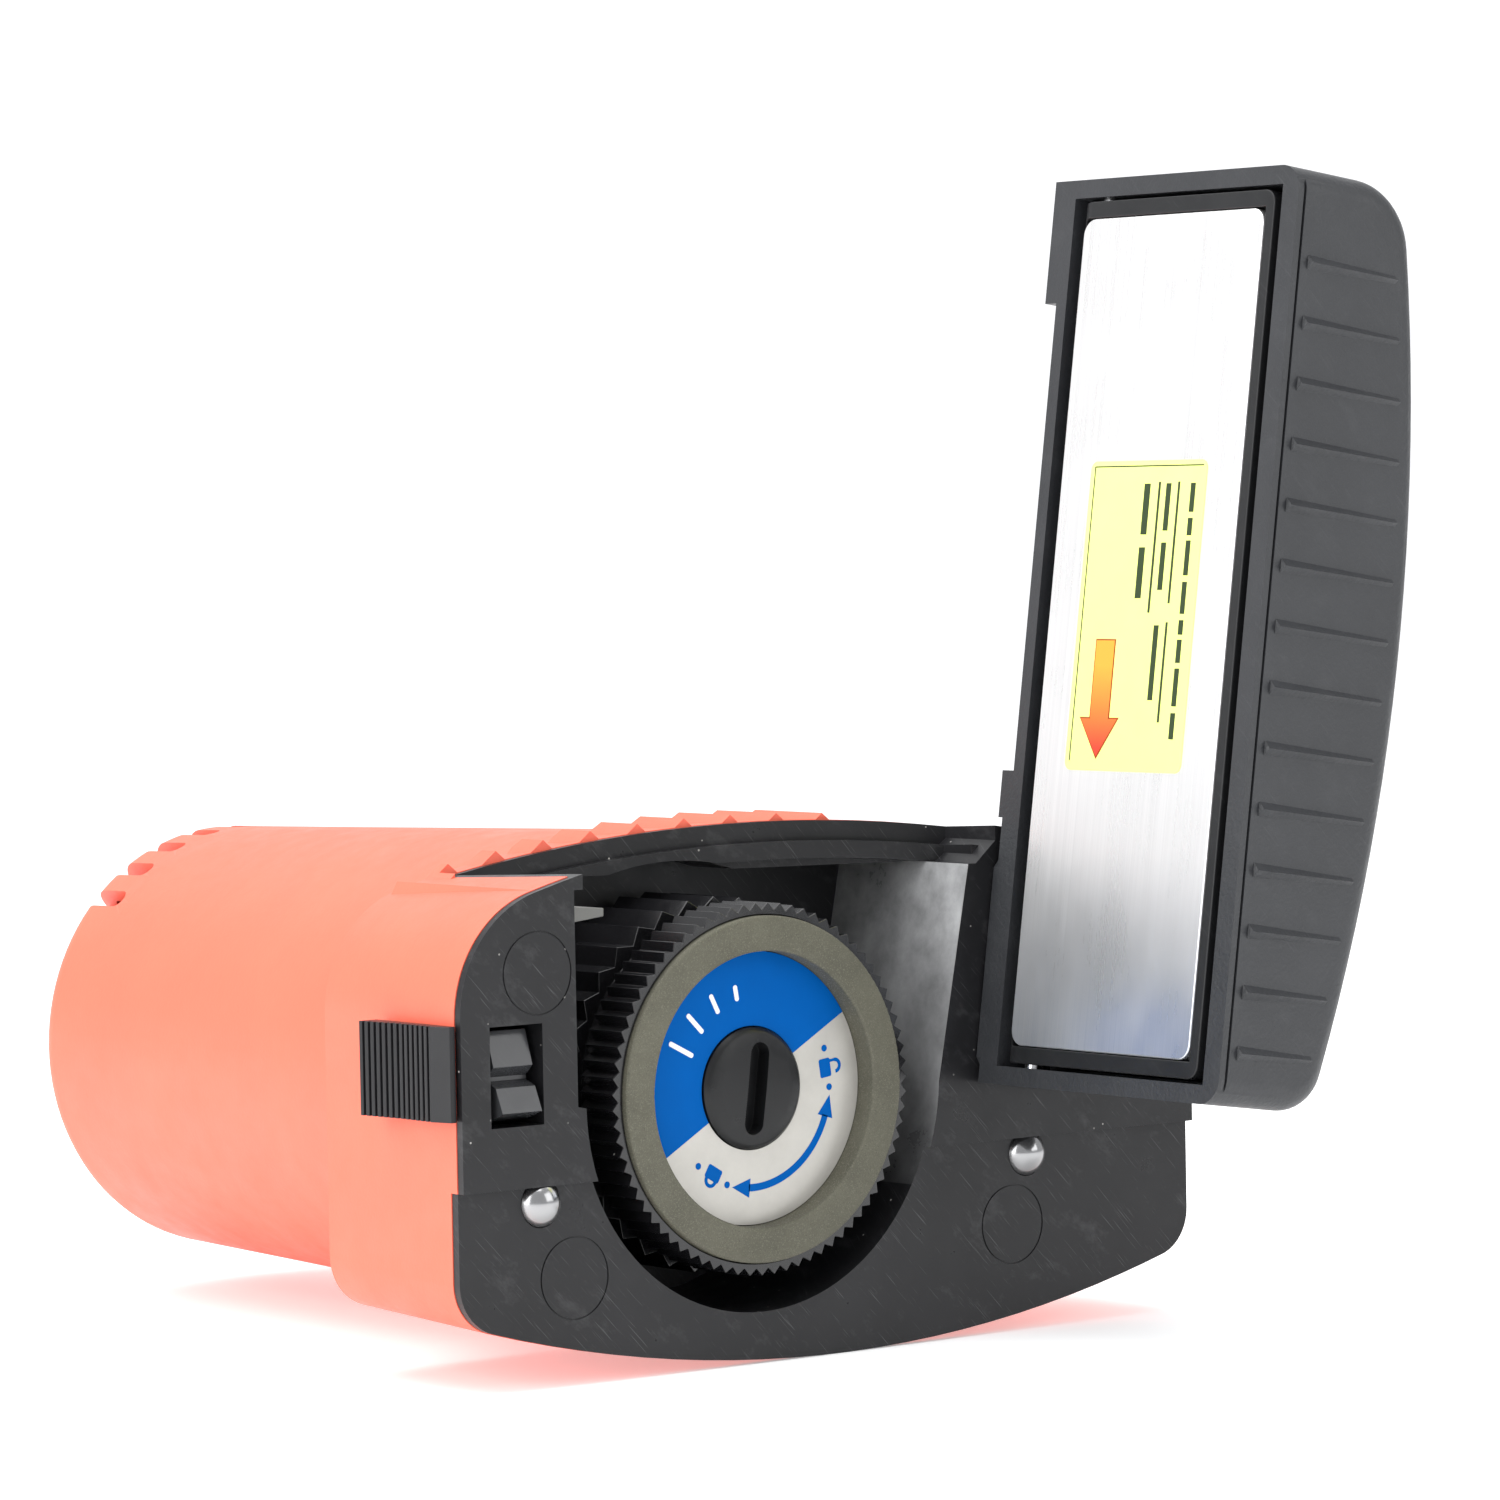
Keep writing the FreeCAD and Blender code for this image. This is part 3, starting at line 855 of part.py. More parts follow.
def build_guide():
    """Guide arm body with its feet, side ribs, holder pocket and hinge boss."""
    body = guide_section(0.0, FRONT_Y, FEET_Y)
    front = [e for e in body.Edges if abs(e.CenterOfMass.y - FRONT_Y) < 0.01
             and e.CenterOfMass.z > PLATE_Z + 1]
    body = body.makeFillet(GUIDE_FRONT_ROUND, front)
    pocket_y0 = FRONT_Y + GUIDE_RIM_FRONT
    pocket_y1 = FEET_Y - GUIDE_RIM_BACK
    body = body.cut(guide_section(GUIDE_WALL, pocket_y0, pocket_y1 - 3))
    relief = block(WINDOW_X + FOOT_PAST_LATCH, TAIL_X - FOOT_TAIL, FEET_Y - FOOT_RELIEF,
                   FEET_Y + 1, PLATE_Z - 1, PLATE_Z + 60)
    body = body.fuse(rod(HINGE_BOSS_R, FEET_Y - HINGE_BOSS_LENGTH, FEET_Y, HINGE_X, HINGE_Z))
    body = body.cut(relief)
    # The riding ball stands prouder than the feet, so they swing past it in a groove.
    ball_half = math.sqrt((BALL_DIA / 2) ** 2 - (BALL_Y - FEET_Y) ** 2) + GAP
    body = body.cut(tube(BALL_SWEEP_R + ball_half, BALL_SWEEP_R - ball_half,
                         -BALL_PROUD - GAP, FEET_Y + 1, HINGE_X, HINGE_Z))
    ends = (FREE_X + GUIDE_RIM_END, TAIL_X - GUIDE_RIM_END)
    body = body.cut(block(ends[0], ends[1], pocket_y0, pocket_y1, PLATE_Z - 1,
                          PLATE_Z + HOLDER_DEPTH + 1.2))
    ribs = 1 + int((GUIDE_LENGTH - GUIDE_RIB_FIRST - GUIDE_RIB_LAST) / GUIDE_RIB_PITCH)
    for k in range(ribs):
        body = body.fuse(guide_rib(TAIL_X - GUIDE_RIB_FIRST - GUIDE_RIB_PITCH * k, FRONT_Y))
    body = body.cut(block(FREE_X - 1, TAIL_X + 1, FRONT_Y - 1, FRONT_Y + SEAM_DEPTH,
                          PLATE_Z + SEAM_Z, PLATE_Z + SEAM_Z + SEAM_WIDTH))
    body = body.cut(rod(PIN_DIA / 2 + BUSH_WALL, FEET_Y - HINGE_BUSH_REACH, FEET_Y + 1,
                        HINGE_X, HINGE_Z))
    keep_half = WINDOW_WIDTH / 2 + 0.5
    body = body.cut(block(WINDOW_X - keep_half, WINDOW_X + keep_half, FEET_Y - 1.9, FEET_Y + 1,
                          WINDOW_Z - WINDOW_HEIGHT / 2 - 0.5, WINDOW_Z - 0.9))
    for end, way in ((ends[0], 1), (ends[1], -1)):
        body = body.cut(bar_x(TILT_PIN_DIA / 2, end - way * TILT_PIN_IN_RIM, end + way * HOLDER_GAP,
                              TILT_Y, TILT_Z))
    well_z = WHEEL_Z - GAP
    well_top = well_z + 30
    floor = bar_z(WHEEL_DIA / 2 + 2.4, well_z - 2.0, well_z + 3.5, WHEEL_X, WHEEL_Y)
    body = body.fuse(floor.common(guide_section(0.5, FRONT_Y, FEET_Y)))
    body = body.cut(bar_z(WHEEL_DIA / 2 + 2 * GAP, well_z, well_top, WHEEL_X, WHEEL_Y))
    body = body.cut(bar_z(WHEEL_STEM_DIA / 2 + FIT, PLATE_Z + 2, well_top, WHEEL_X, WHEEL_Y))
    add("guide_body", body.removeSplitter())
    add("hinge_bush", tube(PIN_DIA / 2 + BUSH_WALL, PIN_DIA / 2 + FIT,
                           FEET_Y - HINGE_BUSH_REACH, FEET_Y, HINGE_X, HINGE_Z))


def build_holder():
    """Tilting plate holder, glide plate and the pins that it tilts on."""
    x0 = FREE_X + GUIDE_RIM_END + HOLDER_GAP
    x1 = TAIL_X - GUIDE_RIM_END - HOLDER_GAP
    y0 = FRONT_Y + GUIDE_RIM_FRONT + HOLDER_FRONT_GAP
    y1 = FEET_Y - GUIDE_RIM_BACK - HOLDER_GAP
    top = PLATE_Z + HOLDER_DEPTH
    floor_z = PLATE_Z + PLATE_THICK + HOLDER_FLOOR
    frame = block(x0, x1, y0, y1, PLATE_Z, top)
    corner = [e for e in frame.Edges if abs(e.CenterOfMass.z - (PLATE_Z + top) / 2) < 0.1]
    frame = frame.makeFillet(HOLDER_CORNER, corner)
    frame = frame.cut(block(x0 + HOLDER_WALL, x1 - HOLDER_WALL, y0 + HOLDER_WALL,
                            y1 - 2 * HEEL_R, floor_z, top + 1))
    heel = bar_x(HEEL_R, x0, x1, TILT_Y, TILT_Z)
    behind = block(x0 - 1, x1 + 1, TILT_Y, y1 + 1, PLATE_Z - 1, top + 1)
    frame = frame.cut(behind).fuse(heel)
    px0 = FREE_X + PLATE_FROM_END
    px1 = TAIL_X - PLATE_FROM_END
    py0 = FRONT_Y + PLATE_FROM_FRONT
    py1 = FEET_Y - PLATE_FROM_FEET
    frame = frame.cut(block(px0 - SEAT, px1 + SEAT, py0 - SEAT, py1 + SEAT, PLATE_Z - 1,
                            PLATE_Z + PLATE_THICK))
    hole_r = TILT_PIN_DIA / 2 + FIT
    for end, way in ((x0, 1), (x1, -1)):
        inner = end + way * TILT_PIN_IN_FRAME
        outer = end - way * (HOLDER_GAP + TILT_PIN_IN_RIM)
        frame = frame.cut(bar_x(hole_r, end - way, inner + way * SEAT, TILT_Y, TILT_Z))
        add("tilt_pins", bar_x(TILT_PIN_DIA / 2, outer, inner, TILT_Y, TILT_Z))
    add("plate_frame", frame.removeSplitter())
    plate = block(px0, px1, py0, py1, PLATE_Z, PLATE_Z + PLATE_THICK)
    sides = [e for e in plate.Edges if abs(e.CenterOfMass.z - PLATE_Z - PLATE_THICK / 2) < 0.1]
    plate = plate.makeFillet(PLATE_CORNER, sides)
    rim = [e for e in plate.Edges if abs(e.CenterOfMass.z - PLATE_Z) < 0.01]
    add("glide_plate", plate.makeFillet(PLATE_EDGE, rim))


def build_angle_wheel():
    """Notched wheel in the back of the arm whose stem sets the holder's tilt."""
    radius = WHEEL_DIA / 2
    wheel = bar_z(radius, WHEEL_Z, WHEEL_Z + WHEEL_THICK, WHEEL_X, WHEEL_Y)
    for k in range(WHEEL_NOTCHES):
        angle = 2 * math.pi * k / WHEEL_NOTCHES
        wheel = wheel.cut(bar_z(WHEEL_NOTCH_R, WHEEL_Z - 1, WHEEL_Z + WHEEL_THICK + 1,
                                WHEEL_X + radius * math.cos(angle),
                                WHEEL_Y + radius * math.sin(angle)))
    stem_z = PLATE_Z + PLATE_THICK + HOLDER_FLOOR + GAP + 1.5
    stem = bar_z(WHEEL_STEM_DIA / 2, stem_z, WHEEL_Z + 1, WHEEL_X, WHEEL_Y)
    slot = block(WHEEL_X - 5, WHEEL_X + 5, WHEEL_Y - 0.6, WHEEL_Y + 0.6,
                 WHEEL_Z + WHEEL_THICK - 1.2, WHEEL_Z + WHEEL_THICK + 1)
    add("angle_wheel", wheel.fuse(stem).cut(slot))


build_head_shell()
build_face_liner()
build_small_face_parts()
build_barrel()
build_rear_end()
build_switch()
build_motor()
build_rotor()
build_drum()
build_lock_cap()
build_latch()
build_guide()
build_holder()
build_angle_wheel()

# The arm and all that rides on it swing open about the hinge pin.
for name in ("guide_body", "hinge_bush", "plate_frame", "tilt_pins", "glide_plate", "angle_wheel"):
    for shape in pieces[name]:
        shape.rotate(Vector(HINGE_X, 0, HINGE_Z), Y_AXIS, OPEN_ANGLE)

# Standing origin: middle of the footprint, at the lowest point.
whole = Part.makeCompound([shape for shapes in pieces.values() for shape in shapes])
extent = whole.optimalBoundingBox(False, False)
shift = Vector(-(extent.XMin + extent.XMax) / 2, -(extent.YMin + extent.YMax) / 2, -extent.ZMin)

os.makedirs("parts", exist_ok=True)
for name, shapes in pieces.items():
    solids = []
    for shape in shapes:
        shape.translate(shift)
        solids.extend(shape.Solids)
    result = solids[0] if len(solids) == 1 else Part.makeCompound(solids)
    result.exportStep("parts/%s.step" % name)
    print("%-16s solids %d valid %s volume %.1f" % (name, len(solids), result.isValid(), result.Volume))
print("shift", round(shift.x, 4), round(shift.y, 4), round(shift.z, 4))
print("size", round(extent.XLength, 2), round(extent.YLength, 2), round(extent.ZLength, 2))
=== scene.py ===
"""Looks of a hand-held edge tuning tool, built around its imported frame.

Every sub-assembly is a class that holds its own sizes, builds its pieces with bmesh
operators and dresses them.  A finish is a small frozen dataclass that makes one
procedural material.  All lengths are metres, in the frame's own axes: the working face
looks towards -Y, the motor barrel runs towards +Y and the guide arm stands up at +X.
"""

import json
import logging
import math
from dataclasses import dataclass, field
from enum import Enum

import bmesh
import bpy
from mathutils import Euler, Matrix, Vector


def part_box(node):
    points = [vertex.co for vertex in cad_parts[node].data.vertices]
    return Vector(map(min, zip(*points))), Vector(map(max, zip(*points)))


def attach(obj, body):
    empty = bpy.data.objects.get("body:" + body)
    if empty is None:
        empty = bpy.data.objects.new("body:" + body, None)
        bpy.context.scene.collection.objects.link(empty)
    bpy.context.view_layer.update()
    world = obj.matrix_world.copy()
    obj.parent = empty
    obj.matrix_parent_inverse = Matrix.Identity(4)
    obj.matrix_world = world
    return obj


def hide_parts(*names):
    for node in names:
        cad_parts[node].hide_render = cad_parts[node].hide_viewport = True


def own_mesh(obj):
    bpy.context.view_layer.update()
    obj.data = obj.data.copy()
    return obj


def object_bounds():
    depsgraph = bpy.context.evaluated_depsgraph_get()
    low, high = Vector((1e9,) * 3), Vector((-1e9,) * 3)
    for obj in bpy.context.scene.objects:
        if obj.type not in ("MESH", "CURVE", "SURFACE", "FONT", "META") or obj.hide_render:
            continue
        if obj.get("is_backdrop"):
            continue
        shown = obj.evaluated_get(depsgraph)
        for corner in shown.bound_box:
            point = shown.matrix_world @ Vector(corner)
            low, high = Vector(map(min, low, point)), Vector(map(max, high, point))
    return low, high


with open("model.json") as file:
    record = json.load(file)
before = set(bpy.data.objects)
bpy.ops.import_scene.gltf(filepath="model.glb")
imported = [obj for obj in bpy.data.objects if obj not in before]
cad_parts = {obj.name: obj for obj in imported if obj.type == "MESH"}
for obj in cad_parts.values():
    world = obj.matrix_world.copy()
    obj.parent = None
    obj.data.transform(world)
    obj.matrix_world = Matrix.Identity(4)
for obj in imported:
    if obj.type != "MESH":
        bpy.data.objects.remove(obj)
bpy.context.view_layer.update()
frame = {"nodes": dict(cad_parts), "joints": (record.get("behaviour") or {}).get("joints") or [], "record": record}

log = logging.getLogger("edge_tuner")

MM = 0.001
JOIN = 0.004 * MM             # vertices nearer than this are one
SHARP_EDGE = 32.0             # edges above this angle are rounded, in degrees
SMOOTH_EDGE = 35.0            # edges below this angle are shaded smooth, in degrees
NOISE_LOW, NOISE_HIGH = 0.3, 0.7    # the part of a noise's range that is put to use
Colour = tuple[float, float, float]


class Body(Enum):
    """Rigid bodies of the frame that pieces ride on."""

    HOUSING = "housing"
    SPINDLE = "spindle"
    CAP = "clamp_cap"
    ARM = "guide_arm"
    HOLDER = "tilt_holder"
    WHEEL = "tilt_wheel"
    LATCH = "latch"
    ROCKER = "rocker"


# ---------------------------------------------------------------- material recipes
class Recipe:
    """One material's node tree, put together step by step on Object coordinates."""

    def __init__(self, name: str, **sockets: object) -> None:
        """Start a material.

        Args:
            name: The material's name.
            **sockets: Constant values for the shader's own sockets, with underscores
                for spaces.
        """
        self.material = bpy.data.materials.new(name)
        self.material.use_nodes = True
        self.tree = self.material.node_tree
        self.shader = self.tree.nodes["Principled BSDF"]
        self.place = self.node("ShaderNodeTexCoord").outputs["Object"]
        for socket, value in sockets.items():
            self.shader.inputs[socket.replace("_", " ")].default_value = value

    def node(self, kind: str, **settings: object) -> bpy.types.Node:
        """Add a node.

        Args:
            kind: The node's class name.
            **settings: Its properties.

        Returns:
            The new node.
        """
        made = self.tree.nodes.new(kind)
        for key, value in settings.items():
            setattr(made, key, value)
        return made

    def feed(self, socket: bpy.types.NodeSocket, value: object) -> None:
        """Link a socket to another, or set its constant.

        Args:
            socket: The input.
            value: An output socket or a constant.
        """
        if isinstance(value, bpy.types.NodeSocket):
            self.tree.links.new(value, socket)
        else:
            socket.default_value = value

    def mapped(self, size: tuple[float, float, float], turn: Colour = (0, 0, 0)) -> bpy.types.NodeSocket:
        """Object coordinates, turned and then divided by a feature size.

        Args:
            size: Feature size along each turned axis.
            turn: Euler angles that bring the pattern's axes onto the frame's.

        Returns:
            The coordinates.
        """
        turned = self.node("ShaderNodeMapping")
        turned.inputs["Rotation"].default_value = turn
        self.feed(turned.inputs["Vector"], self.place)
        scaled = self.node("ShaderNodeMapping")
        scaled.inputs["Scale"].default_value = [1 / s for s in size]
        self.feed(scaled.inputs["Vector"], turned.outputs["Vector"])
        return scaled.outputs["Vector"]

    def noise(self, size: float | tuple, detail: float = 3.0, rough: float = 0.55,
              turn: Colour = (0, 0, 0)) -> bpy.types.NodeSocket:
        """Smooth noise.

        Args:
            size: Feature size, one value or one for each axis.
            detail: Number of octaves.
            rough: Strength of the finer octaves.
            turn: Turn of the pattern's axes.

        Returns:
            The noise, about 0.2 to 0.8.
        """
        sizes = size if isinstance(size, tuple) else (size, size, size)
        made = self.node("ShaderNodeTexNoise")
        made.inputs["Scale"].default_value = 1.0
        made.inputs["Detail"].default_value = detail
        made.inputs["Roughness"].default_value = rough
        self.feed(made.inputs["Vector"], self.mapped(sizes, turn))
        return made.outputs["Fac"]

    def cells(self, size: float) -> tuple[bpy.types.NodeSocket, bpy.types.NodeSocket]:
        """Random cells.

        Args:
            size: Cell size.

        Returns:
            Distance to the cell's centre, and a random colour for each cell.
        """
        made = self.node("ShaderNodeTexVoronoi")
        made.inputs["Scale"].default_value = 1.0
        self.feed(made.inputs["Vector"], self.mapped((size, size, size)))
        return made.outputs["Distance"], made.outputs["Color"]

    def span(self, value: object, low: float, high: float, to_low: float = 0.0,
             to_high: float = 1.0) -> bpy.types.NodeSocket:
        """Map one range onto another, clamped.

        Args:
            value: The input.
            low: Input that gives to_low.
            high: Input that gives to_high.
            to_low: Output at low.
            to_high: Output at high.

        Returns:
            The mapped value.
        """
        made = self.node("ShaderNodeMapRange")
        self.feed(made.inputs["Value"], value)
        for key, number in (("From Min", low), ("From Max", high),
                            ("To Min", to_low), ("To Max", to_high)):
            made.inputs[key].default_value = number
        return made.outputs["Result"]

    def maths(self, operation: str, a: object, b: object = 0.0) -> bpy.types.NodeSocket:
        """One step of arithmetic.

        Args:
            operation: Name of the operation.
            a: First value.
            b: Second value.

        Returns:
            The result.
        """
        made = self.node("ShaderNodeMath", operation=operation)
        self.feed(made.inputs[0], a)
        self.feed(made.inputs[1], b)
        return made.outputs[0]

    def mix(self, share: object, a: object, b: object) -> bpy.types.NodeSocket:
        """Blend two colours.

        Args:
            share: Share of b.
            a: First colour, a socket or three numbers.
            b: Second colour.

        Returns:
            The blend.
        """
        made = self.node("ShaderNodeMix", data_type="RGBA")
        self.feed(made.inputs[0], share)
        for socket, value in ((made.inputs[6], a), (made.inputs[7], b)):
            self.feed(socket, (*value, 1.0) if isinstance(value, tuple) else value)
        return made.outputs[2]

    def mottled(self, cloud: bpy.types.NodeSocket, tint: Colour, share: float) -> bpy.types.NodeSocket:
        """A tint that a noise makes a little lighter and darker.

        Args:
            cloud: The noise.
            tint: The tint.
            share: How much lighter and darker, as a share of the tint.

        Returns:
            The colour.
        """
        return self.mix(self.span(cloud, NOISE_LOW, NOISE_HIGH), shaded(tint, 1 - share),
                        shaded(tint, 1 + share))

    def coordinate(self, axis: str) -> bpy.types.NodeSocket:
        """One object coordinate, in metres."""
        made = self.node("ShaderNodeSeparateXYZ")
        self.feed(made.inputs[0], self.place)
        return made.outputs[axis]

    def colour(self, value: object) -> None:
        """Give the shader its colour: a socket or three numbers."""
        self.feed(self.shader.inputs["Base Color"],
                  (*value, 1.0) if isinstance(value, tuple) else value)

    def roughness(self, value: object) -> None:
        """Give the shader its roughness."""
        self.feed(self.shader.inputs["Roughness"], value)

    def relief(self, *layers: tuple[bpy.types.NodeSocket, float]) -> bpy.types.Material:
        """Add fine relief, one bump on another, and finish.

        Args:
            *layers: Pairs of a height and its depth in metres.

        Returns:
            The finished material.
        """
        normal = None
        for height, depth in layers:
            bump = self.node("ShaderNodeBump")
            bump.inputs["Strength"].default_value = 1.0
            bump.inputs["Distance"].default_value = depth
            self.feed(bump.inputs["Height"], height)
            if normal is not None:
                self.feed(bump.inputs["Normal"], normal)
            normal = bump.outputs["Normal"]
        if normal is not None:
            self.feed(self.shader.inputs["Normal"], normal)
        return self.material


def shaded(colour: Colour, factor: float) -> Colour:
    """A colour made lighter or darker by a factor."""
    return tuple(min(1.0, c * factor) for c in colour)


@dataclass(frozen=True)
class MouldedPlastic:
    """Injection-moulded plastic with a fine grain, dust and scuffs."""

    name: str
    tint: Colour
    rough: float = 0.45
    mottling: float = 0.05
    grain: float = 0.35 * MM
    grain_depth: float = 0.01 * MM
    dust: float = 0.0
    scuffs: float = 0.0
    specular: float = 0.5

    def material(self) -> bpy.types.Material:
        """Build the material."""
        recipe = Recipe(self.name, Specular_IOR_Level=self.specular)
        cloud = recipe.noise(14 * MM, 4.0)
        tone = recipe.mottled(cloud, self.tint, self.mottling)
        rough = recipe.span(recipe.noise(5 * MM, 5.0, 0.65), NOISE_LOW, NOISE_HIGH,
                            self.rough - 0.07, self.rough + 0.07)
        if self.scuffs:
            lines = recipe.span(recipe.noise((0.12 * MM, 7 * MM, 5 * MM), 2.0, 0.5,
                                             (0.4, 0.5, 0.8)), 0.66, 0.74)
            smears = recipe.span(recipe.noise((3.5 * MM, 9 * MM, 6 * MM), 5.0, 0.7,
                                              (0.2, 0.9, 0.3)), 0.56, 0.72)
            worn = recipe.maths("MAXIMUM", lines, recipe.maths("MULTIPLY", smears, 0.45))
            worn = recipe.maths("MULTIPLY", worn, self.scuffs)
            tone = recipe.mix(worn, tone, (0.30, 0.30, 0.31))
            rough = recipe.maths("ADD", rough, recipe.maths("MULTIPLY", worn, 0.3))
        if self.dust:
            distance, random = recipe.cells(1.6 * MM)
            chosen = recipe.span(random, 1.0 - self.dust, 1.0 - self.dust * 0.8)
            speck = recipe.span(distance, 0.10, 0.05)
            speck = recipe.maths("MULTIPLY", speck, chosen)
            tone = recipe.mix(recipe.maths("MULTIPLY", speck, 0.75), tone, (0.62, 0.60, 0.57))
            rough = recipe.maths("ADD", rough, recipe.maths("MULTIPLY", speck, 0.35))
        recipe.colour(tone)
        recipe.roughness(rough)
        fine = recipe.noise(self.grain, 2.0, 0.5)
        return recipe.relief((cloud, 0.02 * MM), (fine, self.grain_depth))


@dataclass(frozen=True)
class BrushedSteel:
    """Steel sheet brushed along one direction, with faint smears and a painted blue-grey reflection of a dark part
    along its bottom.
    """

    name: str
    tint: Colour = (0.93, 0.925, 0.92)
    rough: float = 0.3
    turn: Colour = (0.0, 0.0, 0.0)
    line: float = 0.14 * MM
    run: float = 60 * MM
    depth: float = 0.0012 * MM
    contrast: float = 0.06
    bare: float = 0.8
    reflection_band: tuple[float, float] = (-1.0, -0.9)
    reflection_tint: Colour = (0.50, 0.54, 0.60)

    def material(self) -> bpy.types.Material:
        """Build the material; the brush lines run along the turned Z axis."""
        recipe = Recipe(self.name, Metallic=self.bare)
        fine = recipe.noise((self.line, self.line, self.run), 3.0, 0.6, self.turn)
        broad = recipe.noise((self.line * 9, self.line * 9, self.run * 2), 4.0, 0.6, self.turn)
        smear = recipe.noise((9 * MM, 9 * MM, 16 * MM), 4.0, 0.6, self.turn)
        streak = recipe.maths("ADD", recipe.maths("MULTIPLY", fine, 0.6),
                              recipe.maths("MULTIPLY", broad, 0.4))
        tone = recipe.mix(recipe.span(streak, 0.35, 0.65), shaded(self.tint, 1 - self.contrast),
                          shaded(self.tint, 1 + self.contrast))
        tone = recipe.mix(recipe.span(smear, 0.45, 0.7, 0.0, 0.12), tone, (0.80, 0.81, 0.83))
        # painted reflection of the dark head: a blue-grey band along the plate's bottom, with a wavy upper edge
        wander = recipe.maths("MULTIPLY", recipe.maths("SUBTRACT", smear, 0.5), 9 * MM)
        height = recipe.maths("ADD", recipe.coordinate("Z"), wander)
        painted_reflection = recipe.span(height, self.reflection_band[1], self.reflection_band[0])
        painted_reflection = recipe.maths("MULTIPLY", painted_reflection, recipe.span(streak, NOISE_LOW, NOISE_HIGH, 0.6, 1.0))
        recipe.colour(recipe.mix(painted_reflection, tone, self.reflection_tint))
        recipe.roughness(recipe.maths("ADD", recipe.span(streak, NOISE_LOW, NOISE_HIGH, self.rough - 0.03,
                                                         self.rough + 0.03),
                                      recipe.span(smear, 0.4, 0.7, -0.02, 0.04)))
        return recipe.relief((fine, self.depth))


@dataclass(frozen=True)
class DustAndSheenPlastic:
    """Black plastic wall turned grey towards one side by grinding dust and a painted sheen."""

    name: str
    tint: Colour
    # colour of the grinding dust and the painted sheen
    dust: Colour
    x_plain: float
    x_dust_and_sheen: float

    def material(self) -> bpy.types.Material:
        """Build the material; the grey of grinding dust and painted sheen grows along the frame's X axis."""
        recipe = Recipe(self.name)
        cloud = recipe.noise((5 * MM, 12 * MM, 14 * MM), 6.0, 0.65)
        # grinding dust and painted sheen: the grey grows along X between the two bounds, in cloudy patches
        side = recipe.span(recipe.coordinate("X"), self.x_plain, self.x_dust_and_sheen)
        share = recipe.maths("MULTIPLY", side, recipe.span(cloud, 0.3, 0.68, 0.25, 1.0))
        recipe.colour(recipe.mix(share, self.tint, self.dust))
        recipe.roughness(recipe.span(cloud, NOISE_LOW, NOISE_HIGH, 0.24, 0.4))
        return recipe.relief((recipe.noise(0.5 * MM, 3.0), 0.008 * MM))


@dataclass(frozen=True)
class TurnedMetal:
    """Bare or plated metal with a fine random tool finish."""

    name: str
    tint: Colour
    rough: float = 0.3
    mottling: float = 0.06
    grain: float = 0.25 * MM
    depth: float = 0.003 * MM
    metallic: float = 1.0

    def material(self) -> bpy.types.Material:
        """Build the material."""
        recipe = Recipe(self.name, Metallic=self.metallic)
        cloud = recipe.noise(3 * MM, 4.0, 0.6)
        recipe.colour(recipe.mottled(cloud, self.tint, self.mottling))
        recipe.roughness(recipe.span(cloud, NOISE_LOW, NOISE_HIGH, self.rough * 0.8, self.rough * 1.2))
        return recipe.relief((recipe.noise(self.grain, 2.0), self.depth))


@dataclass(frozen=True)
class AbrasiveGrit:
    """Fine grit bonded in a dull binder."""

    name: str
    tint: Colour
    grit: float = 0.11 * MM

    def material(self) -> bpy.types.Material:
        """Build the material."""
        recipe = Recipe(self.name, Specular_IOR_Level=0.35)
        distance, random = recipe.cells(self.grit)
        cloud = recipe.noise(6 * MM, 4.0, 0.6)
        binder = recipe.mottled(cloud, self.tint, 0.14)
        grains = recipe.mix(recipe.span(random, 0.72, 0.8), binder, shaded(self.tint, 1.35))
        recipe.colour(recipe.mix(recipe.span(random, 0.2, 0.1), grains, shaded(self.tint, 0.72)))
        recipe.roughness(recipe.span(random, 0.5, 0.9, 0.72, 0.45))
        return recipe.relief((distance, 0.012 * MM), (recipe.noise(0.5 * MM, 3.0), 0.02 * MM))


@dataclass(frozen=True)
class PrintedInk:
    """Flat print or paper with a little mottling."""

    name: str
    tint: Colour
    rough: float = 0.4
    mottling: float = 0.03
    metallic: float = 0.0
    fibre: float = 0.4 * MM
    specular: float = 0.2

    def material(self) -> bpy.types.Material:
        """Build the material."""
        recipe = Recipe(self.name, Metallic=self.metallic,
                        Specular_IOR_Level=self.specular)
        cloud = recipe.noise(self.fibre * 8, 4.0, 0.6)
        recipe.colour(recipe.mottled(cloud, self.tint, self.mottling))
        recipe.roughness(recipe.span(cloud, NOISE_LOW, NOISE_HIGH, self.rough - 0.04, self.rough + 0.04))
        return recipe.relief((recipe.noise(self.fibre, 3.0), 0.004 * MM))


@dataclass(frozen=True)
class FadedInk:
    """Ink that fades from one colour to another down the frame's Z axis."""

    name: str
    top: Colour
    bottom: Colour
    z_top: float
    z_bottom: float

    def material(self) -> bpy.types.Material:
        """Build the material."""
        recipe = Recipe(self.name)
        fade = recipe.span(recipe.coordinate("Z"), self.z_top, self.z_bottom)
        recipe.colour(recipe.mix(fade, self.top, self.bottom))
        recipe.roughness(recipe.span(recipe.noise(2 * MM), NOISE_LOW, NOISE_HIGH, 0.36, 0.46))
        return recipe.relief((recipe.noise(0.4 * MM), 0.004 * MM))


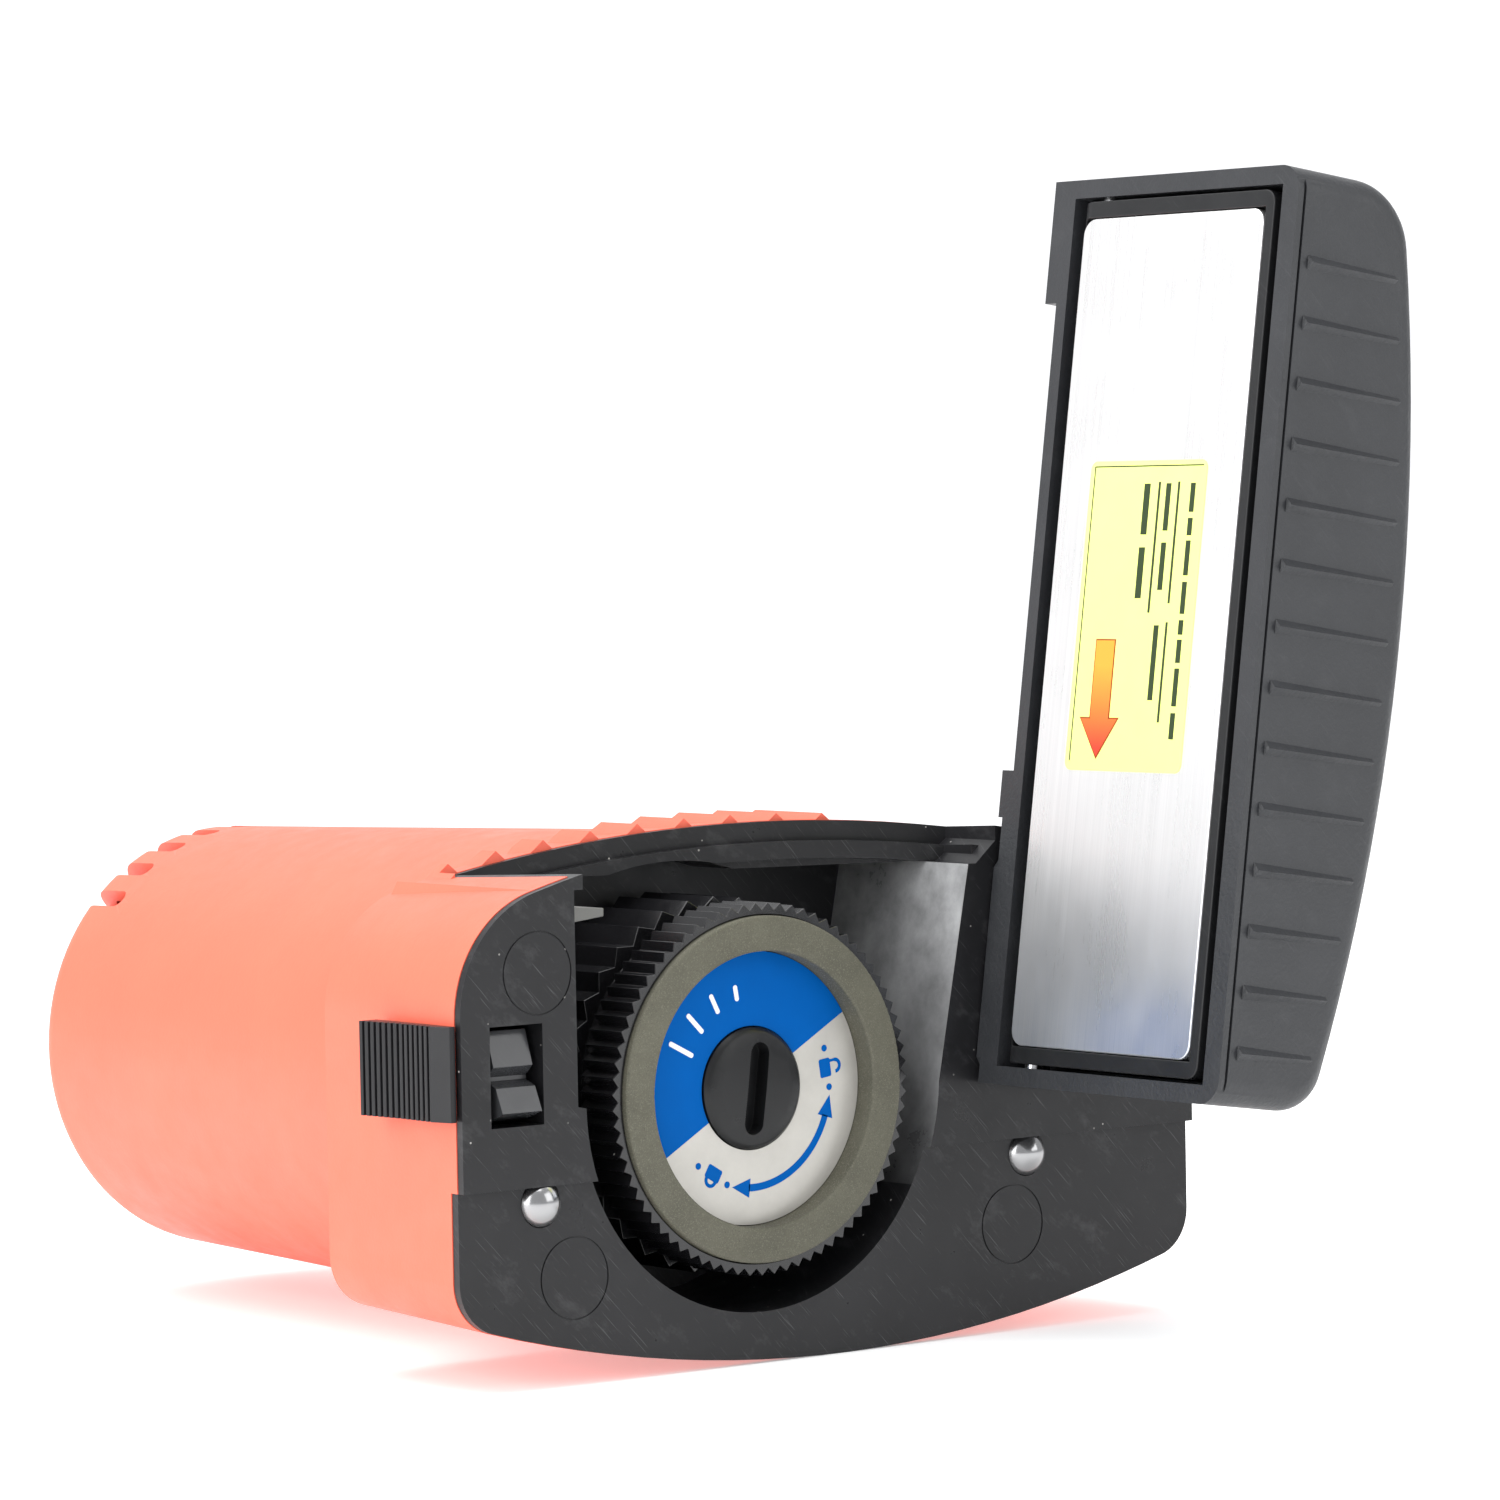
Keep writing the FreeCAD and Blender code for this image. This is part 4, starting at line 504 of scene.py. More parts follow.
class Palette:
    """Every finish of the tool, made once and shared."""

    def __init__(self, arm_turn: Euler) -> None:
        """Make the materials.

        Args:
            arm_turn: Turn of the guide arm's long axis away from Z.
        """
        steel_turn = tuple(arm_turn)
        plate_low, plate_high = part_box("glide_plate")
        # the plate's bottom carries a painted reflection of the dark head
        reflection_height_share = 0.24    # lowest part of the plate that mirrors the dark head
        plate_reflection_band = (plate_low.z, plate_low.z + reflection_height_share * (plate_high.z - plate_low.z))
        drum_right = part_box("grinding_drum")[1].x
        notch_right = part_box("plate_frame")[0].x
        self.orange = MouldedPlastic("orange_housing", (0.86, 0.148, 0.088), 0.46, 0.03,
                                     0.45 * MM, 0.02 * MM, 0.02, 0.0, 0.4).material()
        self.face_black = MouldedPlastic("face_black", (0.0115, 0.0115, 0.0128), 0.34, 0.2,
                                         0.5 * MM, 0.008 * MM, 0.35, 0.16, 0.3).material()
        self.guide_black = MouldedPlastic("guide_black", (0.024, 0.0255, 0.0285), 0.44, 0.1,
                                          0.55 * MM, 0.07 * MM, 0.06, 0.05, 0.5).material()
        self.frame_black = MouldedPlastic("frame_black", (0.011, 0.0115, 0.0125), 0.42, 0.08,
                                          0.3 * MM, 0.008 * MM, 0.1, 0.05, 0.35).material()
        self.drum_black = MouldedPlastic("drum_black", (0.008, 0.008, 0.009), 0.2, 0.1,
                                         0.4 * MM, 0.004 * MM, 0.12, 0.0, 0.6).material()
        self.cap_black = MouldedPlastic("cap_black", (0.0058, 0.0061, 0.0068), 0.34, 0.08,
                                        0.3 * MM, 0.008 * MM, 0.05, 0.0, 0.35).material()
        self.latch_black = MouldedPlastic("latch_black", (0.035, 0.036, 0.039), 0.2, 0.1,
                                          0.3 * MM, 0.004 * MM, 0.1, 0.05).material()
        self.slider_black = MouldedPlastic("slider_black", (0.010, 0.010, 0.0115), 0.4, 0.08,
                                           0.3 * MM, 0.01 * MM, 0.04, 0.0, 0.35).material()
        self.grey = MouldedPlastic("guard_grey", (0.13, 0.13, 0.122), 0.4).material()
        self.rubber = MouldedPlastic("gland_rubber", (0.02, 0.02, 0.02), 0.75, 0.1,
                                     0.25 * MM, 0.02 * MM).material()
        self.steel_plate = BrushedSteel("stainless_plate", turn=steel_turn,
                                        reflection_band=plate_reflection_band).material()
        self.ball = TurnedMetal("polished_balls", (0.36, 0.36, 0.365), 0.2, 0.03, 0.6 * MM,
                                0.001 * MM).material()
        self.zinc = TurnedMetal("zinc_screws", (0.60, 0.60, 0.58), 0.34).material()
        self.ground = TurnedMetal("ground_steel", (0.62, 0.62, 0.63), 0.2).material()
        self.can = TurnedMetal("motor_steel", (0.48, 0.49, 0.50), 0.32).material()
        self.cast = TurnedMetal("cast_aluminium", (0.50, 0.50, 0.51), 0.5, 0.1, 0.4 * MM,
                                0.02 * MM).material()
        self.ferrite = TurnedMetal("ferrite", (0.06, 0.06, 0.065), 0.6, 0.1, 0.3 * MM,
                                   0.01 * MM, 0.0).material()
        self.stack = BrushedSteel("lamination_stack", (0.33, 0.33, 0.34), 0.45,
                                  (math.pi / 2, 0, 0), 8 * MM, 0.5 * MM, 0.02 * MM, 0.1).material()
        # far wall of the drum cavity: grinding dust with a painted sheen, greyer towards the plate frame
        self.cavity_dust_and_sheen = DustAndSheenPlastic("cavity_dust_and_sheen", (0.007, 0.007, 0.008), (0.42, 0.425, 0.43),
                                         drum_right - 1 * MM, notch_right).material()
        self.copper = TurnedMetal("copper_bars", (0.72, 0.36, 0.2), 0.28).material()
        self.bronze = TurnedMetal("sintered_bronze", (0.55, 0.36, 0.16), 0.45).material()
        self.spring = TurnedMetal("spring_steel", (0.42, 0.42, 0.43), 0.3).material()
        self.grit = AbrasiveGrit("abrasive_grit", (0.095, 0.092, 0.068)).material()
        self.foil = PrintedInk("label_foil", (0.50, 0.485, 0.45), 0.36, 0.05,
                               metallic=0.3).material()
        self.blue = PrintedInk("label_blue", (0.0, 0.092, 0.37), 0.5, 0.03,
                               specular=0.04).material()
        self.white = PrintedInk("label_white", (0.82, 0.84, 0.86), 0.4).material()
        self.sticker = PrintedInk("sticker_yellow", (0.86, 0.95, 0.27), 0.42, 0.02).material()
        self.sticker_ink = PrintedInk("sticker_ink", (0.03, 0.05, 0.02), 0.45).material()
        middle = (plate_low.z + plate_high.z) / 2
        self.arrow_rim = PrintedInk("arrow_rim", (0.30, 0.05, 0.01), 0.45).material()
        self.arrow_ink = FadedInk("arrow_ink", (0.85, 0.33, 0.03), (0.62, 0.04, 0.015),
                                  middle - 4 * MM, middle - 14 * MM).material()


# ---------------------------------------------------------------- shop floor
def cad_copy(node: str, join: float = JOIN) -> bmesh.types.BMesh:
    """Copy a CAD node's mesh and merge its loose triangles into clean faces.

    Args:
        node: The node's name.
        join: Distance within which vertices are merged.

    Returns:
        The merged mesh.
    """
    made = bmesh.new()
    made.from_mesh(frame["nodes"][node].data)
    bmesh.ops.remove_doubles(made, verts=made.verts, dist=join)
    bmesh.ops.dissolve_degenerate(made, edges=made.edges, dist=join)
    bmesh.ops.dissolve_limit(made, angle_limit=math.radians(0.6), verts=made.verts,
                             edges=made.edges)
    return made


def soften(made: bmesh.types.BMesh, radius: float, segments: int = 2) -> bmesh.types.BMesh:
    """Round every sharp edge a little, so that it catches the light.

    Args:
        made: The mesh.
        radius: Width of the rounding.
        segments: Steps across it.

    Returns:
        The same mesh.
    """
    limit = math.radians(SHARP_EDGE)
    edges = [e for e in made.edges if e.is_manifold and e.calc_face_angle(0.0) > limit]
    bmesh.ops.bevel(made, geom=edges, offset=radius, offset_type="OFFSET", affect="EDGES",
                    segments=segments, profile=0.5, material=-1, clamp_overlap=True)
    return made


@dataclass(frozen=True)
class Sheet:
    """Flat face that print lies on: a middle, two directions in it and its normal."""

    middle: Vector
    across: Vector
    along: Vector
    normal: Vector

    def matrix(self, u: float, v: float, lift: float, turn: float = 0.0) -> Matrix:
        """Place of a mark on the sheet.

        Args:
            u: Distance across from the middle.
            v: Distance along from the middle.
            lift: Height above the face.
            turn: Turn of the mark in the sheet, in degrees.

        Returns:
            Matrix from the mark's own plane, with X across and Y along.
        """
        spot = self.middle + self.across * u + self.along * v + self.normal * lift
        axes = Matrix((self.across, self.along, self.normal)).transposed().to_4x4()
        return Matrix.Translation(spot) @ axes @ Matrix.Rotation(math.radians(turn), 4, "Z")


def faces_of(verts: list) -> list:
    """Faces at some vertices, each once, in an order that is the same in every run."""
    return list(dict.fromkeys(f for v in verts for f in v.link_faces))


def thicken(made: bmesh.types.BMesh, faces: list, depth: Vector, index: int) -> None:
    """Make flat faces into closed tablets by extruding them.

    Args:
        made: The mesh.
        faces: The flat faces.
        depth: Offset of the far side.
        index: Material index of the tablets.
    """
    before = set(made.faces) - set(faces)
    out = bmesh.ops.extrude_face_region(made, geom=faces, use_keep_orig=True)["geom"]
    bmesh.ops.translate(made, verts=[v for v in out if isinstance(v, bmesh.types.BMVert)], vec=depth)
    fresh = [f for f in made.faces if f not in before]
    bmesh.ops.recalc_face_normals(made, faces=fresh)
    for face in fresh:
        face.material_index = index


def tablet(made: bmesh.types.BMesh, place: Matrix, size: tuple[float, float], depth: float,
           index: int, corner: float = 0.0) -> None:
    """Add a thin rectangle of print or paper.

    Args:
        made: The mesh that it joins.
        place: Its place, with its face up.
        size: Width and length.
        depth: Thickness below its face.
        index: Material index.
        corner: Radius of its corners.
    """
    grown = bmesh.ops.create_grid(made, x_segments=1, y_segments=1, size=0.5)
    verts = grown["verts"]
    bmesh.ops.scale(made, verts=verts, vec=(size[0], size[1], 1))
    faces = faces_of(verts)
    if corner:
        bevelled = bmesh.ops.bevel(made, geom=verts, offset=corner, offset_type="OFFSET",
                                   affect="VERTICES", segments=6, profile=0.5, material=-1)
        faces = faces_of(bevelled["verts"])
    verts = list(dict.fromkeys(v for f in faces for v in f.verts))
    bmesh.ops.transform(made, matrix=place, verts=verts)
    normal = place.to_3x3() @ Vector((0, 0, 1))
    thicken(made, faces, normal * -depth, index)


def disc(made: bmesh.types.BMesh, place: Matrix, size: tuple[float, float], depth: float,
         index: int, corners: int = 3) -> None:
    """Add a thin regular polygon of print: a triangle, or a dot with many corners.

    Args:
        made: The mesh that it joins.
        place: Its place; a triangle points along the local Y axis.
        size: Half width and half length of the circle round it.
        depth: Thickness below its face.
        index: Material index.
        corners: Number of corners.
    """
    grown = bmesh.ops.create_circle(made, cap_ends=True, segments=corners, radius=1.0)
    verts = grown["verts"]
    bmesh.ops.scale(made, verts=verts, vec=(size[0], size[1], 1))
    bmesh.ops.transform(made, matrix=place, verts=verts)
    faces = faces_of(verts)
    normal = place.to_3x3() @ Vector((0, 0, 1))
    thicken(made, faces, normal * -depth, index)


def finish_piece(name: str, made: bmesh.types.BMesh, body: Body, slot: str,
                 *materials: bpy.types.Material, replaces: tuple[str, ...] = ()) -> bpy.types.Object:
    """Turn a mesh into a named piece that rides on a body.

    Args:
        name: The piece's name.
        made: Its mesh, in the frame's coordinates; it is freed.
        body: The body that it rides on.
        slot: The record's material slot; not used.
        *materials: Materials, in the order of the faces' indices.
        replaces: CAD nodes that it stands for.

    Returns:
        The piece.
    """
    mesh = bpy.data.meshes.new(name)
    made.to_mesh(mesh)
    made.free()
    for polygon in mesh.polygons:
        polygon.use_smooth = True
    mesh.set_sharp_from_angle(angle=math.radians(SMOOTH_EDGE))
    for material in materials:
        mesh.materials.append(material)
    piece = bpy.data.objects.new(name, mesh)
    bpy.context.scene.collection.objects.link(piece)
    weighted = piece.modifiers.new("even_shading", "WEIGHTED_NORMAL")
    weighted.keep_sharp = True
    weighted.weight = 80
    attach(piece, body.value)
    if replaces:
        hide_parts(*replaces)
    log.info("%-18s rides on %-12s %6d faces", name, body.value, len(mesh.polygons))
    return piece


def refined(node: str, body: Body, slot: str, material: bpy.types.Material, radius: float,
            segments: int = 2) -> bpy.types.Object:
    """Stand in for a CAD node with the same shape, merged and with softened edges.

    Args:
        node: The CAD node.
        body: The body that it rides on.
        slot: The record's material slot.
        material: Its finish.
        radius: Rounding of its edges.
        segments: Steps across the rounding.

    Returns:
        The piece.
    """
    made = soften(cad_copy(node), radius, segments)
    return finish_piece(node + "_shape", made, body, slot, material, replaces=(node,))


def dress(node: str, *materials: bpy.types.Material) -> None:
    """Give a CAD node that stays in sight its finish.

    Args:
        node: The node's name.
        *materials: Its materials.
    """
    mesh = frame["nodes"][node].data
    mesh.materials.clear()
    for material in materials:
        mesh.materials.append(material)
    log.info("%-18s dressed in %s", node, materials[0].name)


# ---------------------------------------------------------------- sub-assemblies
@dataclass
class Housing:
    """Orange head and barrel, black face plate and the small parts on them."""

    palette: Palette
    shell_edge: float = 0.22 * MM
    plate_edge: float = 0.16 * MM
    liner_join: float = 0.02 * MM
    wall_from: float = 1.6 * MM
    wall_rise: float = 1.0 * MM

    def build(self) -> None:
        """Build and dress the housing."""
        colours = self.palette
        refined("head_shell", Body.HOUSING, "orange_housing", colours.orange, self.shell_edge)
        refined("motor_barrel", Body.HOUSING, "orange_housing", colours.orange, self.shell_edge)
        self.build_face_liner()
        refined("rear_cap", Body.HOUSING, "black_mouldings", colours.frame_black, self.plate_edge)
        refined("switch_body", Body.HOUSING, "black_mouldings", colours.frame_black, 0.3 * MM)
        refined("swarf_guard", Body.HOUSING, "grey_guard", colours.grey, 0.12 * MM)
        refined("switch_rocker", Body.ROCKER, "rocker_black", colours.cap_black, 0.25 * MM)
        dress("cord_gland", colours.rubber)
        dress("riding_balls", colours.ball)
        dress("hinge_pin", colours.ground)
        for node in ("head_screws", "cap_screws", "mount_screws"):
            dress(node, colours.zinc)

    def build_face_liner(self) -> None:
        """Face plate and drum cavity; the cavity's far wall carries grinding dust and a painted sheen."""
        low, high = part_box("grinding_drum")
        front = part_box("face_liner")[0].y
        made = soften(cad_copy("face_liner", self.liner_join), self.plate_edge)
        for face in made.faces:
            centre = face.calc_center_median()
            wall = centre.x > high.x and centre.y > front + self.wall_from and face.normal.x < -0.3
            face.material_index = 1 if wall and low.z < centre.z < high.z + self.wall_rise else 0
        finish_piece("face_liner_shape", made, Body.HOUSING, "black_face_plate",
                     self.palette.face_black, self.palette.cavity_dust_and_sheen, replaces=("face_liner",))


@dataclass
class Motor:
    """Motor parts inside the barrel, hardly seen but finished all the same."""

    palette: Palette

    def build(self) -> None:
        """Dress the motor."""
        colours = self.palette
        finishes = {
            "motor_mount": colours.cast, "motor_end_bell": colours.cast,
            "motor_can": colours.can, "motor_tie_bolts": colours.zinc,
            "motor_magnets": colours.ferrite, "brush_holders": colours.bronze,
            "front_bearing": colours.ground, "rear_bearing": colours.ground,
            "spindle_shaft": colours.ground, "motor_rotor": colours.stack,
            "commutator": colours.copper, "cooling_fan": colours.frame_black,
        }
        for node, material in finishes.items():
            dress(node, material)


@dataclass
class GrindingHead:
    """Drum, abrasive ring, label and lock cap on the spindle."""

    palette: Palette
    split_angle: float = 30.0
    steps: int = 90
    print_lift: float = 0.03 * MM
    mark_radius: float = 12.1 * MM
    arrow_angles: tuple[float, float] = (-20.0, -93.0)
    arrow_stroke: float = 0.9 * MM
    tally_step: float = 0.17
    open_sign: float = 8.0
    shut_sign: float = -121.0
    tally_angles: tuple[float, ...] = (153.0, 135.0, 117.0, 100.0)
    tally_size: tuple[float, float] = (0.62 * MM, 4.0 * MM)
    arrow_head: tuple[float, float] = (1.35 * MM, 1.8 * MM)
    arrow_head_step: float = 3.5
    dot: float = 0.42 * MM
    open_dot_step: float = 11.5
    shut_dot_step: float = 12.0
    lock_size: tuple[float, float] = (2.3 * MM, 1.7 * MM)
    lock_drop: float = 0.5 * MM
    shackle_rise: float = 0.35 * MM
    shackle_radii: tuple[float, float] = (0.5 * MM, 0.95 * MM)
    shackle_lift: float = 0.7 * MM
    cap_gap: float = 0.15 * MM
    centre: Vector = field(init=False)
    label_front: float = field(init=False)

    def __post_init__(self) -> None:
        """Find the spindle axis and the label's face in the frame."""
        low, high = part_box("grinding_ring")
        self.centre = Vector(((low.x + high.x) / 2, 0, (low.z + high.z) / 2))
        self.label_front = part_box("ring_label")[0].y

    def build(self) -> None:
        """Build and dress the grinding head."""
        colours = self.palette
        refined("grinding_drum", Body.SPINDLE, "drum_black", colours.drum_black, 0.1 * MM)
        refined("ring_carrier", Body.SPINDLE, "black_mouldings", colours.cap_black, 0.15 * MM)
        refined("lock_cap", Body.CAP, "black_mouldings", colours.cap_black, 0.22 * MM, 3)
        dress("grinding_ring", colours.grit)
        self.build_label()

    def spot(self, radius: float, angle: float, y: float) -> Vector:
        """Point at a radius and an angle about the spindle, seen from the front.

        Args:
            radius: Distance from the axis.
            angle: Degrees anticlockwise from +X, with Z up.
            y: Depth.

        Returns:
            The point.
        """
        turn = math.radians(angle)
        return self.centre + Vector((radius * math.cos(turn), y, radius * math.sin(turn)))

    def sector(self, made: bmesh.types.BMesh, radii: tuple[float, float], angles: tuple[float, float],
               y: float, index: int) -> None:
        """Add a flat ring sector by spinning one edge.

        Args:
            made: The mesh that it joins.
            radii: Inner and outer radius.
            angles: First and last angle, in degrees.
            y: Depth.
            index: Material index of its faces.
        """
        ends = [made.verts.new(self.spot(r, angles[0], y)) for r in radii]
        edge = made.edges.new(ends)
        sweep = math.radians(angles[1] - angles[0])
        steps = max(2, round(self.steps * abs(sweep) / math.pi))
        before = set(made.faces)
        bmesh.ops.spin(made, geom=[*ends, edge], cent=self.centre + Vector((0, y, 0)),
                       axis=(0, -1, 0), angle=sweep, steps=steps)
        for face in set(made.faces) - before:
            face.material_index = index

    def build_label(self) -> None:
        """Two-colour label disc, and the print on it."""
        low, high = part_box("ring_label")
        inner = (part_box("lock_cap")[1].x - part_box("lock_cap")[0].x) / 2 + self.cap_gap
        outer = (high.x - low.x) / 2
        start = self.split_angle
        made = bmesh.new()
        self.sector(made, (inner, outer), (start, start + 180), self.label_front, 0)
        self.sector(made, (inner, outer), (start + 180, start + 360), self.label_front, 1)
        bmesh.ops.remove_doubles(made, verts=made.verts, dist=0.001 * MM)
        bmesh.ops.recalc_face_normals(made, faces=made.faces)
        if made.faces[:][0].normal.y > 0:
            bmesh.ops.reverse_faces(made, faces=made.faces)
        bmesh.ops.solidify(made, geom=made.faces[:], thickness=high.y - low.y)
        finish_piece("ring_label_disc", made, Body.SPINDLE, "label_foil", self.palette.blue,
                     self.palette.foil, replaces=("ring_label",))
        self.build_label_print()

    def tangent(self, radius: float, angle: float, turn: float = 0.0) -> Matrix:
        """Place of a mark on the label.

        Args:
            radius: Distance from the axis.
            angle: Degrees anticlockwise from +X, with Z up.
            turn: Extra turn of the mark, in degrees.

        Returns:
            Matrix whose X runs along the circle, clockwise, and whose Y points outwards.
        """
        outwards = self.spot(1.0, angle, 0) - self.centre
        front = Vector((0, -1, 0))
        sheet = Sheet(self.centre + Vector((0, self.label_front, 0)), outwards.cross(front),
                      outwards, front)
        return sheet.matrix(0, radius, self.print_lift, turn)

    def padlock(self, made: bmesh.types.BMesh, angle: float, lifted: float) -> None:
        """Add a padlock sign.

        Args:
            made: The print's mesh.
            angle: Its place round the label.
            lifted: How far its shackle stands out of its body.
        """
        tablet(made, self.tangent(self.mark_radius - self.lock_drop, angle), self.lock_size,
               self.print_lift, 0, 0.25 * MM)
        loop = self.tangent(self.mark_radius + self.shackle_rise + lifted, angle)
        axis = loop.to_3x3() @ Vector((0, 0, 1))
        ends = [made.verts.new(loop @ Vector((r, 0, 0))) for r in self.shackle_radii]
        edge = made.edges.new(ends)
        before = set(made.faces)
        bmesh.ops.spin(made, geom=[*ends, edge], cent=loop.translation, axis=axis,
                       angle=math.pi, steps=10)
        thicken(made, [f for f in made.faces if f not in before], axis * -self.print_lift, 0)
        if lifted:
            tablet(made, self.tangent(self.mark_radius + self.shackle_rise + lifted / 2, angle)
                   @ Matrix.Translation((-0.725 * MM, 0, 0)),
                   (0.35 * MM, lifted), self.print_lift, 0)

    def build_label_print(self) -> None:
        """Arc arrow between an open and a shut padlock, and a gauge of bars in the blue half."""
        made = bmesh.new()
        half = self.arrow_stroke / 2
        first, last = self.arrow_angles
        before = set(made.faces)
        self.sector(made, (self.mark_radius - half, self.mark_radius + half), (first, last),
                    self.label_front - self.print_lift, 0)
        thicken(made, [f for f in made.faces if f not in before], Vector((0, self.print_lift, 0)), 0)
        step = self.arrow_head_step
        for angle, turn in ((first + step, 90), (last - step, -90)):
            disc(made, self.tangent(self.mark_radius, angle, turn), self.arrow_head,
                 self.print_lift, 0)
        self.padlock(made, self.open_sign, self.shackle_lift)
        self.padlock(made, self.shut_sign, 0.0)
        for angle, step in ((self.open_sign, self.open_dot_step),
                            (self.shut_sign, self.shut_dot_step)):
            for side in (-1, 1):
                disc(made, self.tangent(self.mark_radius, angle + side * step),
                     (self.dot, self.dot), self.print_lift, 0, 16)
        for count, angle in enumerate(self.tally_angles):
            width, tallest = self.tally_size
            height = tallest * (1 - self.tally_step * count)
            tablet(made, self.tangent(self.mark_radius - 0.3 * MM, angle), (width, height),
                   self.print_lift, 1, width * 0.45)
        finish_piece("ring_label_print", made, Body.SPINDLE, "label_foil", self.palette.blue,
                     self.palette.white)


@dataclass
class Latch:
    """Catch of the guide arm with its ribbed finger pad and spring."""

    palette: Palette

    def build(self) -> None:
        """Build and dress the latch."""
        colours = self.palette
        refined("latch_bolt", Body.LATCH, "latch_black", colours.latch_black, 0.14 * MM)
        refined("latch_slider", Body.LATCH, "slider_black", colours.slider_black, 0.1 * MM)
        self.build_spring()

    def build_spring(self) -> None:
        """Coil copied from the CAD spring, riding on the housing with a mesh of its own."""
        coil = finish_piece("latch_spring_coil", cad_copy("latch_spring"), Body.HOUSING, "spring_steel",
                            self.palette.spring, replaces=("latch_spring",))
        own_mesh(coil)


@dataclass
class GuideArm:
    """Swing-out guide arm with its tilting plate holder, angle wheel and sticker."""

    palette: Palette
    sticker_size: tuple[float, float] = (21.2 * MM, 38.0 * MM)
    sticker_middle: tuple[float, float] = (-0.16 * MM, -1.95 * MM)
    sticker_thick: float = 0.10 * MM
    ink_lift: float = 0.03 * MM
    arrow_across: float = -5.1 * MM
    arrow_run: tuple[float, float] = (1.1 * MM, 15.3 * MM)
    arrow_shaft: float = 3.3 * MM
    arrow_head: tuple[float, float] = (6.6 * MM, 4.6 * MM)
    arrow_outline: float = 0.35 * MM
    sticker_corner: float = 1.1 * MM
    rules: tuple[tuple[tuple[float, float], tuple[float, float]], ...] = (
        ((0.035, 0.043), (0.02, 0.97)), ((0.035, 0.97), (0.016, 0.020)),
        ((0.600, 0.618), (0.07, 0.49)), ((0.765, 0.783), (0.07, 0.46)),
        ((0.765, 0.783), (0.52, 0.84)))
    rows: tuple[tuple[tuple[float, float], tuple[float, float], int], ...] = (
        ((0.44, 0.57), (0.075, 0.485), 2), ((0.635, 0.74), (0.075, 0.455), 2),
        ((0.635, 0.74), (0.53, 0.83), 1))
    small_row: tuple[float, float] = (0.875, 0.915)
    small_bars: tuple[float, ...] = (0.10, 0.06, 0.12, 0.11, 0.05, 0.08, 0.13, 0.09)
    small_gap: float = 0.012
    text_start: float = 0.075

    def build(self) -> None:
        """Build and dress the guide arm."""
        colours = self.palette
        refined("guide_body", Body.ARM, "guide_black", colours.guide_black, 0.18 * MM)
        refined("plate_frame", Body.HOLDER, "frame_black", colours.frame_black, 0.18 * MM)
        refined("angle_wheel", Body.WHEEL, "black_mouldings", colours.frame_black, 0.15 * MM)
        dress("glide_plate", colours.steel_plate)
        dress("hinge_bush", colours.bronze)
        dress("tilt_pins", colours.ground)
        self.build_sticker()

    def face(self) -> Sheet:
        """Glide face: across it away from the barrel, and along it towards the hinge."""
        mount = next(m for m in frame["record"]["mounts"] if m["name"] == "glide_face")
        joint = next(j for j in frame["joints"] if j["name"] == "plate_tilt")
        normal = Vector(mount["axis"]).normalized()
        along = Vector(joint["axis"]).normalized()
        if along.z > 0:
            along.negate()
        return Sheet(Vector(mount["pos_m"]), normal.cross(along), along, normal)

    def build_sticker(self) -> None:
        """Removable sticker with a direction arrow, rules and plain bars."""
        sheet = self.face()
        width, length = self.sticker_size
        u0, v0 = self.sticker_middle
        paper = bmesh.new()
        tablet(paper, sheet.matrix(u0, v0, self.sticker_thick), self.sticker_size,
               self.sticker_thick, 0, self.sticker_corner)
        finish_piece("sticker_paper_sheet", paper, Body.HOLDER, "sticker_paper", self.palette.sticker)
        made = bmesh.new()
        top = self.sticker_thick + self.ink_lift
        left, head = u0 - width / 2, v0 - length / 2

        def bar(across: tuple[float, float], down: tuple[float, float]) -> None:
            """Print a bar between two shares of the sticker's width and of its length."""
            middle = (left + width * sum(across) / 2, head + length * sum(down) / 2)
            size = (width * (across[1] - across[0]), length * (down[1] - down[0]))
            tablet(made, sheet.matrix(*middle, top), size, self.ink_lift, 0)

        for across, down in self.rules:
            bar(across, down)
        for across, down, count in self.rows:
            pitch = (down[1] - down[0]) / count
            rim = (across[1] - across[0]) * 0.3
            for k in range(count):
                start = down[0] + pitch * k
                bar((across[0] + rim, across[1] - rim), (start, start + pitch * 0.8))
        start = self.text_start
        for share in self.small_bars:
            bar(self.small_row, (start, start + share * 0.93))
            start += share + self.small_gap
        near, far = self.arrow_run
        neck = far - self.arrow_head[1]
        for grow, lift, index in ((self.arrow_outline, 0.0, 2), (0.0, self.ink_lift, 1)):
            place = sheet.matrix(self.arrow_across, (near + neck) / 2, top + lift)
            tablet(made, place, (self.arrow_shaft + grow, neck - near + grow), self.ink_lift, index)
            tip = sheet.matrix(self.arrow_across, neck + self.arrow_head[1] / 3, top + lift)
            disc(made, tip, (self.arrow_head[0] / math.sqrt(3) + grow,
                             self.arrow_head[1] / 1.5 + grow), self.ink_lift, index)
        finish_piece("sticker_print", made, Body.HOLDER, "sticker_paper", self.palette.sticker_ink,
                     self.palette.arrow_ink, self.palette.arrow_rim)


